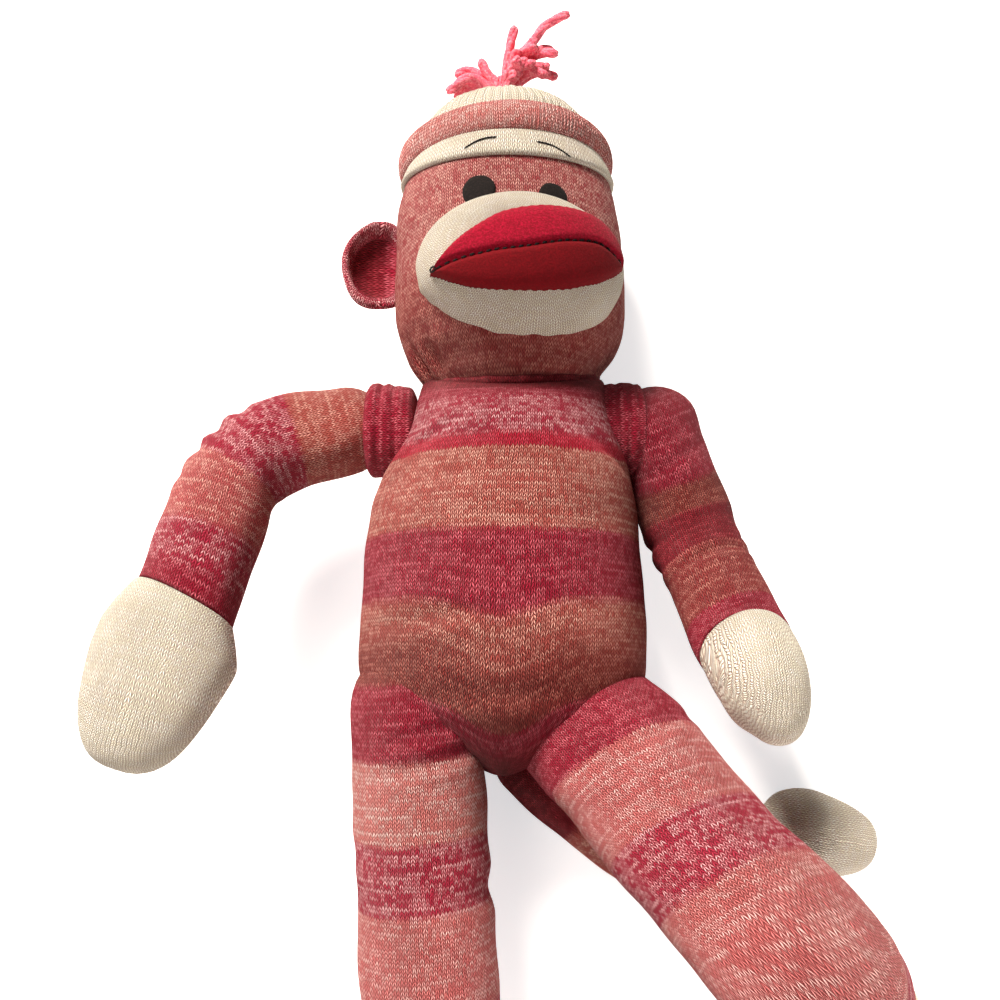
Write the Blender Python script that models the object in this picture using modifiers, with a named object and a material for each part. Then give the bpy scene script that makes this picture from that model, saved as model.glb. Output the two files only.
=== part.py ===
"""Sock monkey doll lying on its back: knitted skins over fibre filling.

Sizes are in metres. The head points along +Y, the feet along -Y and the face up along +Z,
and the origin is on the floor under the doll's back. Left is the doll's own left, at +X.
"""

import math

import bmesh
import bpy
from mathutils import Matrix, Vector

# Cloth, gaps and facets
SKIN = 0.0016
FELT = 0.0013
GAP = 0.0003
FLAT = 0.0005
FACETS = 12
BODY_FACETS = 16
ROOM = 1.05
WAD = 0.9

# Torso: radius and place along the doll's length, from the neck down to the crotch
TORSO_OUTLINE = (
    (0.0240, 0.0745), (0.0380, 0.0725), (0.0450, 0.0660), (0.0480, 0.0540), (0.0500, 0.0260),
    (0.0528, -0.0040), (0.0530, -0.0350), (0.0520, -0.0550), (0.0465, -0.0665), (0.0300, -0.0715),
)
TORSO_FLATNESS = 0.815
TORSO_MIDDLE = (0, 0, 0.0530 * TORSO_FLATNESS - FLAT)

# Head: radius and distance from the neck joint, from the crown down to the ball in the neck
NECK = Vector((0.0045, 0.0860, 0.0438))
NECK_BALL = 0.0355
NOD = 22
HEAD_AXIS = Vector((-0.028, 1.0, 0.0)).normalized()
HEAD_OUTLINE = (
    (0.0130, 0.0985), (0.0255, 0.0925), (0.0345, 0.0820), (0.0395, 0.0710), (0.0427, 0.0590),
    (0.0443, 0.0450), (0.0443, 0.0270), (0.0430, 0.0130),
)
FACE_TURN = 7
PANEL_EDGE = Vector((0.0, 0.1465, 0.0900))
PANEL_SLOPE = 12
PANEL_HEIGHTS = (0.0785, 0.0710, 0.0590, 0.0540)
EYE_RADIUS = 0.0062
EYE_HEIGHT = 0.0480
EYE_TURNS = {"left": 15, "right": -20}
BROW_TURNS = {"left": 22, "right": -12}
BROW_HEIGHTS = {"left": 0.0622, "right": 0.0645}
BROW_SPAN = 17
BROW_RISE = 0.0020

# Muzzle and mouth
MUZZLE_MIDDLE = Vector((0.0070, 0.1075, 0.0720))
MUZZLE_HALF = Vector((0.0380, 0.0281, 0.0320))
LIPS_HALF = (0.0350, 0.0158)
LIPS_THICK = 0.0020
MOUTH_LINE = -0.0035
THREAD = 0.0006
BROW_THREAD = 0.0004

# Ears: place round the head from the level of its axis, fold about that line, and size
EAR_ALONG = 0.0360
EAR_ROUND = {"left": -22, "right": 0}
EAR_FOLD = {"left": -90, "right": 12}
EAR_OFF_HEAD = 0.0037
EAR_RADIUS = 0.0112
EAR_TALL = 1.45
EAR_DEEP = 0.0060
EAR_WALL = 0.0026

# Hat and its tuft of yarn
CROWN_OUTLINE = ((0, 0.1070), (0.0150, 0.1045), (0.0275, 0.0975), (0.0355, 0.0870), (0.0375, 0.0795))
BRIM_RADIUS = 0.0399
BRIM_ALONG = 0.0775
BRIM_HALF = (0.0036, 0.0066)
BRIM_EDGE = 0.0008
YARN = 0.0011
TUFT_KNOT = 0.0040
TUFT_TIPS = (
    (0.028, 0.042, 0.003), (0.004, 0.033, 0.006), (0.022, 0.030, -0.005), (0.022, 0.020, 0.008),
    (0.023, 0.014, -0.002), (0.018, 0.008, 0.010), (-0.012, 0.018, 0.004), (-0.018, 0.014, -0.006),
    (-0.024, 0.004, 0.005), (0.013, 0.024, 0.012), (0.015, 0.026, -0.012), (-0.006, 0.013, -0.014),
    (0.006, 0.011, 0.016), (0.003, 0.019, -0.018),
)

# Arms: sizes, then headings of upper arm, forearm and mitt at rest, as turn and rise
SHOULDER = (0.0590, 0.0562, 0.0430)
ARM = {
    "ball": 0.0172, "length": 0.0400, "end": 0.0184, "belly": 0.0006,
    "joint": 0.0163, "bend": 75, "lower": 0.0530, "seam": 0.0160,
    "tip": 0.0630, "tip_radius": 0.0218, "oval": (1.17, 0.83),
}
SHOULDER_SWING = 75
ARM_REST = {"left": ((28, -14), (9, 26), (-4, 62)), "right": ((-76, 9), (-14, 12), (-18, 12))}
MITT_BROAD = {"left": (0, 0, 1), "right": (1, 0, 0)}

# Legs, given as the arms are
HIP = (0.0300, -0.0600, 0.0430)
LEG = {
    "ball": 0.0252, "length": 0.0960, "end": 0.0256, "belly": 0.0006,
    "joint": 0.0238, "bend": 85, "lower": 0.0440, "seam": 0.0236,
    "tip": 0.0620, "tip_radius": 0.0262, "oval": (1.04, 0.96),
}
HIP_SWING = 28
HIP_FLEX = 60
LEG_REST = {"left": ((43, 30), (43, -49), (43, -49)), "right": ((6, -6), (6, -6), (6, -6))}

# Tail, given as the arms are
TAIL_AT = Vector((0.0090, -0.0700, 0.0125))
TAIL = {
    "ball": 0.0110, "length": 0.0620, "end": 0.0118, "belly": 0.0004,
    "joint": 0.0102, "bend": 75, "lower": 0.0590, "seam": 0.0098,
    "tip": 0.0300, "tip_radius": 0.0157, "oval": (1, 1),
}
TAIL_FACING = 45
TAIL_SWING = 30
TAIL_REST = ((51, -1), (102, 3), (102, 3))

SIDES = {"left": 1, "right": -1}
UP = Vector((0, 0, 1))
ACROSS = Vector((1, 0, 0))

PALETTE = {
    "salmon_knit": ((0.62, 0.22, 0.18), 0.95),
    "magenta_knit": ((0.44, 0.02, 0.08), 0.95),
    "pink_knit": ((0.58, 0.15, 0.19), 0.95),
    "cream_knit": ((0.86, 0.76, 0.60), 0.95),
    "red_felt": ((0.50, 0.004, 0.02), 0.9),
    "black_felt": ((0.01, 0.01, 0.01), 0.85),
    "black_thread": ((0.012, 0.01, 0.01), 0.7),
    "tuft_yarn": ((0.74, 0.13, 0.19), 0.9),
    "fibre_filling": ((0.82, 0.81, 0.78), 1.0),
}


def empty_scene():
    for item in list(bpy.data.objects):
        bpy.data.objects.remove(item, do_unlink=True)


def new_collection(name):
    group = bpy.data.collections.new(name)
    bpy.context.scene.collection.children.link(group)
    return group


def material(name):
    """The named finish from the palette, made the first time that it is asked for."""
    known = bpy.data.materials.get(name)
    if known:
        return known
    colour, roughness = PALETTE[name]
    made = bpy.data.materials.new(name)
    made.use_nodes = True
    shader = made.node_tree.nodes["Principled BSDF"]
    shader.inputs["Base Color"].default_value = (*colour, 1)
    shader.inputs["Roughness"].default_value = roughness
    shader.inputs["Metallic"].default_value = 0
    made.diffuse_color = (*colour, 1)
    return made


def heading(azimuth, rise):
    """A direction measured from the feet end towards the doll's left, and up from the floor."""
    turn, lift = math.radians(azimuth), math.radians(rise)
    flat = math.cos(lift)
    return Vector((flat * math.sin(turn), -flat * math.cos(turn), math.sin(lift)))


def mirrored(point, side):
    return Vector((point[0] * SIDES[side], point[1], point[2]))


def placed(origin, axis, across=UP, scale=(1, 1)):
    """A frame at origin whose Z runs along axis and whose X leans towards across."""
    z = Vector(axis).normalized()
    x = (Vector(across) - z * z.dot(Vector(across))).normalized()
    y = z.cross(x)
    turn = Matrix((x, y, z)).transposed().to_4x4()
    return Matrix.Translation(origin) @ turn @ Matrix.Diagonal((*scale, 1, 1))


def add(name, data, matrix, finish):
    """A named piece in the doll's collection, or a hidden cutter where it has no finish."""
    item = bpy.data.objects.new(name, data)
    item.matrix_world = matrix
    if finish:
        data.materials.append(material(finish))
        DOLL.objects.link(item)
    else:
        item.hide_render = True
        item.display_type = "WIRE"
        CUTTERS.objects.link(item)
    return item


def turned(name, profile, matrix, finish, facets=FACETS, ring=False):
    """A profile of (radius, height), run down its outer side and spun about the frame's Z."""
    edges = [(i, i + 1) for i in range(len(profile) - 1)]
    if ring:
        edges.append((len(profile) - 1, 0))
    mesh = bpy.data.meshes.new(name)
    mesh.from_pydata([(radius, 0, height) for radius, height in profile], edges, [])
    item = add(name, mesh, matrix, finish)
    screw = item.modifiers.new("turn", "SCREW")
    screw.axis = "Z"
    screw.steps = screw.render_steps = facets
    screw.use_smooth_shade = True
    screw.use_merge_vertices = True
    screw.merge_threshold = 0.00001
    return item


def box(name, size, matrix):
    """A hidden cutting block about the frame's origin."""
    bpy.ops.mesh.primitive_cube_add(size=1)
    block = bpy.context.object
    mesh = block.data
    bpy.data.objects.remove(block)
    mesh.transform(Matrix.Diagonal((*size, 1)))
    return add(name, mesh, matrix, None)


def strand(name, points, radius, finish, sides=1):
    """A round thread along the points, with closed ends, as a mesh."""
    curve = bpy.data.curves.new(name, "CURVE")
    curve.dimensions = "3D"
    curve.bevel_depth = radius
    curve.bevel_resolution = sides
    curve.use_fill_caps = True
    path = curve.splines.new("POLY")
    path.points.add(len(points) - 1)
    for spot, point in zip(path.points, points):
        spot.co = (*point, 1)
    guide = bpy.data.objects.new(name + "_path", curve)
    bpy.context.scene.collection.objects.link(guide)
    bpy.context.view_layer.update()
    graph = bpy.context.evaluated_depsgraph_get()
    mesh = bpy.data.meshes.new_from_object(guide.evaluated_get(graph))
    bpy.data.objects.remove(guide)
    shell = bmesh.new()
    shell.from_mesh(mesh)
    bmesh.ops.remove_doubles(shell, verts=shell.verts, dist=0.00001)
    shell.to_mesh(mesh)
    shell.free()
    return add(name, mesh, Matrix.Identity(4), finish)


def cut(item, *cutters, operation="DIFFERENCE"):
    for cutter in cutters:
        step = item.modifiers.new(operation.lower() + " " + cutter.name, "BOOLEAN")
        step.operation = operation
        step.object = cutter
    return item


def offset(outline, depth):
    """The outline moved in by depth along its own normals, with its first end on its plane."""
    moved = []
    last = len(outline) - 1
    for i, (radius, height) in enumerate(outline):
        before, after = outline[max(i - 1, 0)], outline[min(i + 1, last)]
        run = Vector((after[0] - before[0], after[1] - before[1])).normalized()
        moved.append((radius + run.y * depth, height - run.x * depth))
    moved[0] = (outline[0][0] - depth, outline[0][1])
    return moved


def inset(outline, depth):
    """The outline of the space inside a wall of this depth, down to its pole."""
    moved = offset(outline, depth)
    moved[-1] = (0, outline[-1][1] + depth)
    return moved


def thinned(outline):
    """Every second station above the frame's origin, and all of those below it."""
    last = len(outline) - 1
    return [point for i, point in enumerate(outline) if i % 2 == 0 or i == last or point[1] <= 0]


def ball_stations(radius, steps=3):
    """The lower half of a ball at the frame's origin, from below its equator to its pole."""
    turns = [math.radians(90 * (i + 1) / steps) for i in range(steps - 1)]
    return [(radius * math.cos(turn), -radius * math.sin(turn)) for turn in turns] + [(0, -radius)]


def ball(name, at, radius, finish, facets, steps):
    below = ball_stations(radius, steps)
    above = [(r, -height) for r, height in reversed(below)]
    return turned(name, above + [(radius, 0)] + below, placed(at, UP, ACROSS), finish, facets)


def cup_profile(outline, wall):
    """An open cup: up its inner wall from the pole, over the rim and down the outside."""
    return thinned(inset(outline, wall))[::-1] + list(outline)


def plug_profile(outline, wall, wad):
    """The filling that fits a cup, level with its rim, which stops at a wad in its ball."""
    inner = thinned(inset(outline, wall + GAP))
    if wad:
        inner = [point for point in inner if point[1] > -GAP]
        inner.append((0, inner[-1][1]))
    return [(0, inner[0][1])] + inner


def stuffed(name, outline, matrix, finish, cutters=(), facets=FACETS, wad=None):
    """A knitted skin and the filling inside it, both cut by the room of their neighbours.

    Given a wad as its name, middle and ball, the ball holds it: the packed core of the joint.
    """
    skin = turned(name + "_skin", cup_profile(outline, SKIN), matrix, finish, facets)
    filling = turned(name + "_filling", plug_profile(outline, SKIN, wad), matrix, "fibre_filling", facets)
    pieces = [cut(skin, *cutters), cut(filling, *cutters)]
    if wad:
        wad_name, at, radius = wad
        radius = (radius - SKIN) * WAD
        cut(filling, ball(wad_name + "_room", at, radius * ROOM + GAP, None, BODY_FACETS, 4))
        pieces.append(ball(wad_name, at, radius, "fibre_filling", FACETS, 3))
    return pieces


def socket(name, at, towards, radius, swing):
    """Room for a ball joint, and a cone of room for a limb that swings this far each way."""
    room = radius * ROOM + GAP
    rim = math.radians(90 - swing)
    steps = 4
    arc = [(room * math.sin(rim * i / steps), room * math.cos(rim * i / steps)) for i in range(steps + 1)]
    bottom, widest = -room * 2.5, room * 3
    cone = (room - bottom * math.cos(rim)) / math.sin(rim)
    if cone > widest:
        side = [(widest, (room - widest * math.sin(rim)) / math.cos(rim)), (widest, bottom)]
    else:
        side = [(cone, bottom)]
    return turned(name, arc + side + [(0, bottom)], placed(at, towards, (1, 0.3, 0.2)), None, BODY_FACETS)


def crease(name, at, limb, hinge, bend, radius):
    """Room for a one-way hinge: what a limb bent this far takes from its parent's inner side."""
    room = radius * ROOM + GAP
    bent = Matrix.Rotation(math.radians(bend), 3, hinge) @ limb
    inward = hinge.cross(bent)
    length = room * 4
    middle = at + bent * (length / 2) + inward * (room / 2)
    turn = Matrix((hinge, bent, inward)).transposed().to_4x4()
    return box(name, (room * 2.3, length, room), Matrix.Translation(middle) @ turn)


def pivot(name, at, parent=None):
    """An empty on a joint, which carries the pieces that move about it."""
    mark = bpy.data.objects.new(name, None)
    mark.empty_display_size = 0.01
    mark.matrix_world = Matrix.Translation(at)
    DOLL.objects.link(mark)
    if parent:
        hang(parent, mark)
    return mark


def hang(parent, *items):
    bpy.context.view_layer.update()
    for item in items:
        item.parent = parent
        item.matrix_parent_inverse = parent.matrix_world.inverted()


def limb_outline(near, end, length, belly, stations=4):
    """A flat far end, a gentle swell, and a ball at the near joint."""
    outline = []
    for i in range(stations + 1):
        t = 1 - i / stations
        outline.append((near + (end - near) * t + belly * math.sin(math.pi * t) ** 2, length * t))
    return outline + ball_stations(near)


def tip_outline(seam, radius, length, stations=6):
    """A mitt's, foot's or tail end's outline, from its rounded tip back to its seam."""
    outline = [(0, length)]
    for i in range(1, stations + 1):
        turn = math.radians(90 * i / stations)
        t = math.cos(turn)
        drawn_in = max(0.0, 1 - t * 2.2) ** 2
        swell = radius * math.sin(turn) ** 0.75
        outline.append((swell + (seam - swell) * drawn_in, length * t))
    return outline


def tip_pieces(name, seam, radius, length, lap, matrix):
    """A cream tip: a skin open at its seam, and the filling that plugs it."""
    outer = tip_outline(seam, radius, length) + ([(seam, -lap)] if lap > GAP else [])

    def shrunk(depth):
        keep = 1 - depth / length
        return [(0, length - depth)] + thinned([(r - depth, h * keep if h > 0 else h) for r, h in outer[1:]])

    skin = turned(name + "_skin", outer + shrunk(SKIN)[::-1], matrix, "cream_knit")
    core = shrunk(SKIN + GAP) + [(0, outer[-1][1])]
    filling = turned(name + "_filling", core, matrix, "fibre_filling")
    return skin, filling


def mitre(name, at, way, size):
    """A cutting block whose one face stands at the point, square to the way."""
    return box(name, (size, size, size), placed(at + way * (size - GAP) / 2, way))


def limb(names, suffix, at, sizes, rest, hinge, parent, broad, wad_name=None):
    """A jointed stuffed tube: two knitted lengths and a cream tip, each with its filling."""
    upper_way, lower_way, tip_way = (heading(*way) for way in rest)
    middle = at + upper_way * sizes["length"]
    seam = middle + lower_way * sizes["lower"]
    upper, lower, tip = (name + suffix for name in names)
    first = pivot(upper + "_pivot", at, parent)
    second = pivot(lower + "_pivot", middle, first)

    room = socket(lower + "_socket", middle, -upper_way, sizes["joint"], 12)
    fold = crease(lower + "_crease", middle, upper_way, hinge, sizes["bend"], sizes["joint"])
    outline = limb_outline(sizes["ball"], sizes["end"], sizes["length"] - GAP, sizes["belly"])
    wad = (wad_name + suffix, at, sizes["ball"]) if wad_name else None
    hang(first, *stuffed(upper, outline, placed(at, upper_way), "salmon_knit", (room, fold), wad=wad))

    bend = lower_way.angle(tip_way)
    lap = sizes["seam"] * sizes["oval"][0] * math.tan(bend / 2)
    outline = limb_outline(sizes["joint"], sizes["seam"], sizes["lower"] - GAP + lap, sizes["belly"] / 2)
    below = stuffed(lower, outline, placed(middle, lower_way), "magenta_knit")
    frame = placed(seam, tip_way, broad, sizes["oval"])
    beyond = tip_pieces(tip, sizes["seam"], sizes["tip_radius"], sizes["tip"], lap, frame)
    if lap > GAP:
        way = (lower_way + tip_way).normalized()
        for pieces, face, side in ((below, way, "near"), (beyond, -way, "far")):
            block = mitre(f"{tip}_{side}_mitre", seam, face, 0.06)
            for piece in pieces:
                cut(piece, block)
    hang(second, *below, *beyond)


def torso(floor):
    """The body sock, cut by the sockets of everything that is jointed to it."""
    outline = list(TORSO_OUTLINE) + [(0, TORSO_OUTLINE[-1][1] - 0.001)]
    frame = placed(TORSO_MIDDLE, (0, 1, 0), ACROSS, (1, TORSO_FLATNESS))
    cutters = [floor, socket("neck_socket", NECK, (0, -1, 0), NECK_BALL, NOD)]
    for side in SIDES:
        shoulder, hip = mirrored(SHOULDER, side), mirrored(HIP, side)
        cutters += [
            socket(f"shoulder_{side}_socket", shoulder, (-SIDES[side], 0, 0), ARM["ball"], SHOULDER_SWING),
            socket(f"hip_{side}_socket", hip, (0, 1, 0), LEG["ball"], HIP_SWING),
            crease(f"hip_{side}_crease", hip, Vector((0, -1, 0)), -ACROSS, HIP_FLEX, LEG["ball"]),
        ]
    cutters.append(socket("tail_socket", TAIL_AT, -heading(TAIL_FACING, 0), TAIL["ball"], TAIL_SWING))
    body = pivot("torso_middle", TORSO_MIDDLE)
    hang(body, *stuffed("torso", outline, frame, "salmon_knit", cutters, BODY_FACETS))
    return body


def head_frame():
    return placed(NECK, HEAD_AXIS, ACROSS)


def head_radius(height, outline=HEAD_OUTLINE):
    """The radius of the head, or of another outline, at a distance from the neck joint."""
    for (r1, h1), (r2, h2) in zip(outline, outline[1:]):
        if h2 <= height <= h1:
            return r2 + (r1 - r2) * (height - h2) / (h1 - h2)
    return 0.0


def on_head(turn, height, off=0.0):
    """A point by its turn from the face's middle towards the doll's left, and its height."""
    angle = math.radians(FACE_TURN + turn)
    out = Vector((math.sin(angle), 0, math.cos(angle)))
    return NECK + HEAD_AXIS * height + out * (head_radius(height) + off)


def head_band(name, heights, wall, finish):
    """A hoop of cloth laid round the head between the first and last height."""
    outer = [(head_radius(h) + GAP + wall, h) for h in heights]
    inner = [(head_radius(h) + GAP, h) for h in heights]
    return turned(name, outer + inner[::-1], head_frame(), finish, BODY_FACETS, ring=True)


def head(floor, neck):
    """The head sock and its filling, closed at the neck and open under the hat."""
    outline = list(HEAD_OUTLINE) + [(NECK_BALL, 0)] + ball_stations(NECK_BALL)
    wad = ("neck_wad", NECK, NECK_BALL)
    hang(neck, *stuffed("head", outline, head_frame(), "pink_knit", (floor,), BODY_FACETS, wad))


def head_room(name, off):
    """A cutter of the head's own shape, larger by off."""
    outline = offset(list(HEAD_OUTLINE) + [(NECK_BALL, 0)] + ball_stations(NECK_BALL), -off)
    outline[-1] = (0, -NECK_BALL - off)
    return turned(name, [(0, outline[0][1])] + outline, head_frame(), None, BODY_FACETS)


def forehead(neck):
    """The cream panel over the brow, whose lower edge arches across the face."""
    panel = head_band("forehead_panel", PANEL_HEIGHTS, FELT, "cream_knit")
    tilt = Matrix.Rotation(math.radians(PANEL_SLOPE), 4, "X")
    lift = Matrix.Translation((0, 0.05, 0))
    above = box("forehead_region", (0.2, 0.1, 0.2), Matrix.Translation(PANEL_EDGE) @ tilt @ lift)
    hang(neck, cut(panel, above, operation="INTERSECT"))
    for side in SIDES:
        points = []
        steps = 6
        for i in range(steps + 1):
            turn = BROW_TURNS[side] + BROW_SPAN * (i / steps - 0.5)
            height = BROW_HEIGHTS[side] + BROW_RISE * math.sin(math.pi * i / steps)
            points.append(on_head(turn, height, 2 * GAP + FELT + BROW_THREAD * 2))
        hang(neck, strand(f"brow_{side}", points, BROW_THREAD, "black_thread"))


def muzzle_frame():
    turn = math.radians(FACE_TURN)
    return placed(MUZZLE_MIDDLE, (math.sin(turn), 0, math.cos(turn)), ACROSS, (1, MUZZLE_HALF.y / MUZZLE_HALF.x))


def muzzle_outline(off, last_turn, steps=7):
    """The muzzle's section from its front pole, grown by off, down to this turn behind it."""
    wide, deep = MUZZLE_HALF.x + off, MUZZLE_HALF.z + off
    turns = [math.radians(last_turn * i / steps) for i in range(steps + 1)]
    return [(wide * math.sin(turn), deep * math.cos(turn)) for turn in turns]


def muzzle(neck, face):
    """The cream muzzle, sewn round its edge to the face, with its red mouth and stitching."""
    outer, inner = muzzle_outline(0, 150), muzzle_outline(-SKIN, 150)
    core = muzzle_outline(-SKIN - GAP, 150)
    core = core + [(0, core[-1][1])]
    inner[0], core[0], outer[0] = (0, inner[0][1]), (0, core[0][1]), (0, outer[0][1])
    skin = turned("muzzle_skin", outer + inner[::-1], muzzle_frame(), "cream_knit", BODY_FACETS)
    filling = turned("muzzle_filling", core, muzzle_frame(), "fibre_filling", BODY_FACETS)

    under, over = muzzle_outline(GAP, 85), muzzle_outline(GAP + LIPS_THICK, 85)
    under[0], over[0] = (0, under[0][1]), (0, over[0][1])
    lips = turned("lips", over + under[::-1], muzzle_frame(), "red_felt", BODY_FACETS)
    oval = turned(
        "lips_region", [(0, 0.06), (LIPS_HALF[0], 0.06), (LIPS_HALF[0], 0.003), (0, 0.003)],
        muzzle_frame() @ Matrix.Diagonal((1, LIPS_HALF[1] / LIPS_HALF[0] * MUZZLE_HALF.x / MUZZLE_HALF.y, 1, 1)),
        None, 20,
    )
    cut(lips, oval, operation="INTERSECT")

    grown = GAP * 2 + LIPS_THICK + THREAD
    wide, tall, deep = (half + grown for half in MUZZLE_HALF)
    points = []
    steps = 12
    for i in range(steps + 1):
        x = LIPS_HALF[0] * 0.9 * (2 * i / steps - 1)
        z = deep * math.sqrt(1 - (x / wide) ** 2 - (MOUTH_LINE / tall) ** 2)
        points.append(muzzle_frame() @ Vector((x, MOUTH_LINE * MUZZLE_HALF.x / MUZZLE_HALF.y, z)))
    hang(neck, cut(skin, face), cut(filling, face), lips, strand("mouth_thread", points, THREAD, "black_thread"))


def muzzle_room():
    outline = muzzle_outline(GAP, 150)
    outline[0] = (0, outline[0][1])
    return turned("muzzle_room", outline + [(0, outline[-1][1])], muzzle_frame(), None, BODY_FACETS)


def eyes(neck):
    """Flat felt discs, tucked under the muzzle's upper edge."""
    room = muzzle_room()
    for side in SIDES:
        disc = head_band(f"eye_{side}", (0.0590, 0.0450, 0.0350), FELT, "black_felt")
        spot = on_head(EYE_TURNS[side], EYE_HEIGHT)
        out = spot - (NECK + HEAD_AXIS * EYE_HEIGHT)
        punch = turned(
            f"eye_{side}_punch", [(0, 0.01), (EYE_RADIUS, 0.01), (EYE_RADIUS, -0.02), (0, -0.02)],
            placed(spot, out, HEAD_AXIS), None, 16,
        )
        cut(disc, punch, operation="INTERSECT")
        hang(neck, cut(disc, room))


def ears(neck):
    """Cupped ears, each on a fold line sewn to the side of the head."""
    for side in SIDES:
        sign = SIDES[side]
        angle = math.radians(EAR_ROUND[side])
        out = Vector((sign * math.cos(angle), 0, math.sin(angle)))
        at = NECK + HEAD_AXIS * EAR_ALONG + out * (head_radius(EAR_ALONG) + EAR_OFF_HEAD)
        fold = math.radians(EAR_FOLD[side])
        reach = Vector((sign * math.cos(fold + angle), 0, math.sin(fold + angle)))
        opens = Vector((-sign * math.sin(fold + angle), 0, math.cos(fold + angle)))
        rim = EAR_DEEP / 2
        outline = [
            (EAR_RADIUS - EAR_WALL / 4, rim), (EAR_RADIUS, rim * 0.4), (EAR_RADIUS * 0.9, -rim * 0.4),
            (EAR_RADIUS * 0.55, -rim * 0.9), (0, -rim),
        ]
        frame = placed(at + reach * EAR_RADIUS * 0.8, opens, reach, (1, EAR_TALL))
        ear = turned(f"ear_{side}", cup_profile(outline, EAR_WALL), frame, "pink_knit")
        hang(pivot(f"ear_{side}_pivot", at, neck), ear)


def hat(neck):
    """A cream knitted crown pulled over the head, with a rolled pink brim."""
    lowest = CROWN_OUTLINE[-1][1]
    inner = [(head_radius(lowest) + GAP, lowest)]
    inner += [(radius + GAP, height + GAP) for radius, height in HEAD_OUTLINE[2::-1]]
    crown = turned("hat_crown", list(CROWN_OUTLINE) + inner + [(0, inner[-1][1])], head_frame(), "cream_knit", BODY_FACETS)

    def lined(height):
        covered = max(head_radius(height) + GAP + FELT, head_radius(height, CROWN_OUTLINE))
        return covered + GAP * 2

    outer = []
    for turn in (90, 54, 18, -18, -54, -90):
        angle = math.radians(turn)
        radius, height = BRIM_RADIUS + BRIM_HALF[0] * math.cos(angle), BRIM_ALONG + BRIM_HALF[1] * math.sin(angle)
        outer.append((max(radius, lined(height) + BRIM_EDGE), height))
    inside = (BRIM_ALONG - BRIM_HALF[1] * 0.85, CROWN_OUTLINE[-1][1], BRIM_ALONG + BRIM_HALF[1] * 0.85)
    lining = [(lined(height), height) for height in inside]
    brim = turned("hat_brim", outer + lining, head_frame(), "pink_knit", BODY_FACETS, ring=True)
    hang(neck, crown, brim)


def tuft(neck):
    """Strands of thick yarn, knotted together on top of the crown."""
    base = NECK + HEAD_AXIS * (CROWN_OUTLINE[0][1] + GAP + TUFT_KNOT * 0.8)
    knot = ball("tuft", base, TUFT_KNOT, "tuft_yarn", FACETS, 3)
    lowest = box("tuft_seat", (0.02, 0.02, 0.02), placed(base - HEAD_AXIS * (0.01 + TUFT_KNOT * 0.8), HEAD_AXIS))
    for i, tip in enumerate(TUFT_TIPS):
        tip = Vector(tip)
        swell = Vector((tip.x, 0, tip.z)).length * 0.35
        points = []
        for t in (0.02, 0.35, 0.7, 1.0):
            points.append(base + tip * t + HEAD_AXIS * (swell * math.sin(math.pi * t)))
        cut(knot, strand(f"strand_{i}", points, YARN, None, 0), operation="UNION")
    hang(neck, cut(knot, lowest))


empty_scene()
DOLL = new_collection("sock_monkey")
CUTTERS = new_collection("cutters")
FLOOR = box("floor", (0.6, 0.8, 0.02), Matrix.Translation((0, 0, -0.01)))

BODY = torso(FLOOR)
NECK_PIVOT = pivot("neck_pivot", NECK, BODY)
head(FLOOR, NECK_PIVOT)
forehead(NECK_PIVOT)
muzzle(NECK_PIVOT, head_room("face_room", GAP))
eyes(NECK_PIVOT)
ears(NECK_PIVOT)
hat(NECK_PIVOT)
tuft(NECK_PIVOT)
for side in SIDES:
    arm_hinge = heading(*ARM_REST[side][0]).cross(heading(*ARM_REST[side][1])).normalized()
    limb(
        ("upper_arm_", "forearm_", "mitt_"), side, mirrored(SHOULDER, side), ARM, ARM_REST[side],
        arm_hinge, BODY, MITT_BROAD[side], "shoulder_wad_",
    )
    knee_hinge = heading(*LEG_REST[side][0]).cross(-UP).normalized()
    limb(
        ("thigh_", "shin_", "foot_"), side, mirrored(HIP, side), LEG, LEG_REST[side],
        knee_hinge, BODY, UP, "hip_wad_",
    )
limb(("tail_base", "tail_middle", "tail_tip"), "", TAIL_AT, TAIL, TAIL_REST, UP, BODY, UP)
for item in DOLL.objects:
    if item.name.startswith(("tail_", "foot_", "thigh_right", "shin_right")) and item.type == "MESH":
        cut(item, FLOOR)
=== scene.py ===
"""Looks of the sock monkey doll: knitted skins, felt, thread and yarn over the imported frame."""

import math

import bmesh
import bpy
import numpy as np
from mathutils import Matrix, Vector


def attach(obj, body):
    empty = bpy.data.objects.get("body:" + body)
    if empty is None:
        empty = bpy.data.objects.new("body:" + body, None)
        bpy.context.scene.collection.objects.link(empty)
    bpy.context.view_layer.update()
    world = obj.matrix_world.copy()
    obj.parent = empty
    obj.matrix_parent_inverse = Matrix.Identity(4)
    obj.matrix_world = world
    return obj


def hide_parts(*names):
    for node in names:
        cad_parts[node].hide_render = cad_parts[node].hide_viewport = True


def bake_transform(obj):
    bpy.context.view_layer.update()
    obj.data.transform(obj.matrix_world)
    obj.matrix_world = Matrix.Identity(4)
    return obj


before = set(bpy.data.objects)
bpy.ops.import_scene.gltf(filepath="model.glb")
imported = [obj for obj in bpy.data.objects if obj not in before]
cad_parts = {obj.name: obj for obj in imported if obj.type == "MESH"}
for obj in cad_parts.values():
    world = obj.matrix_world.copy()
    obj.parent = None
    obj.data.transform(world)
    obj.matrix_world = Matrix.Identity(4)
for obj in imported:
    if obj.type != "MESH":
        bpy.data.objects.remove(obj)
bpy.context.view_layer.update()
bpy.ops.object.select_all(action="DESELECT")
scene = bpy.context.scene
scene.view_settings.view_transform = "Standard"


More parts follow.
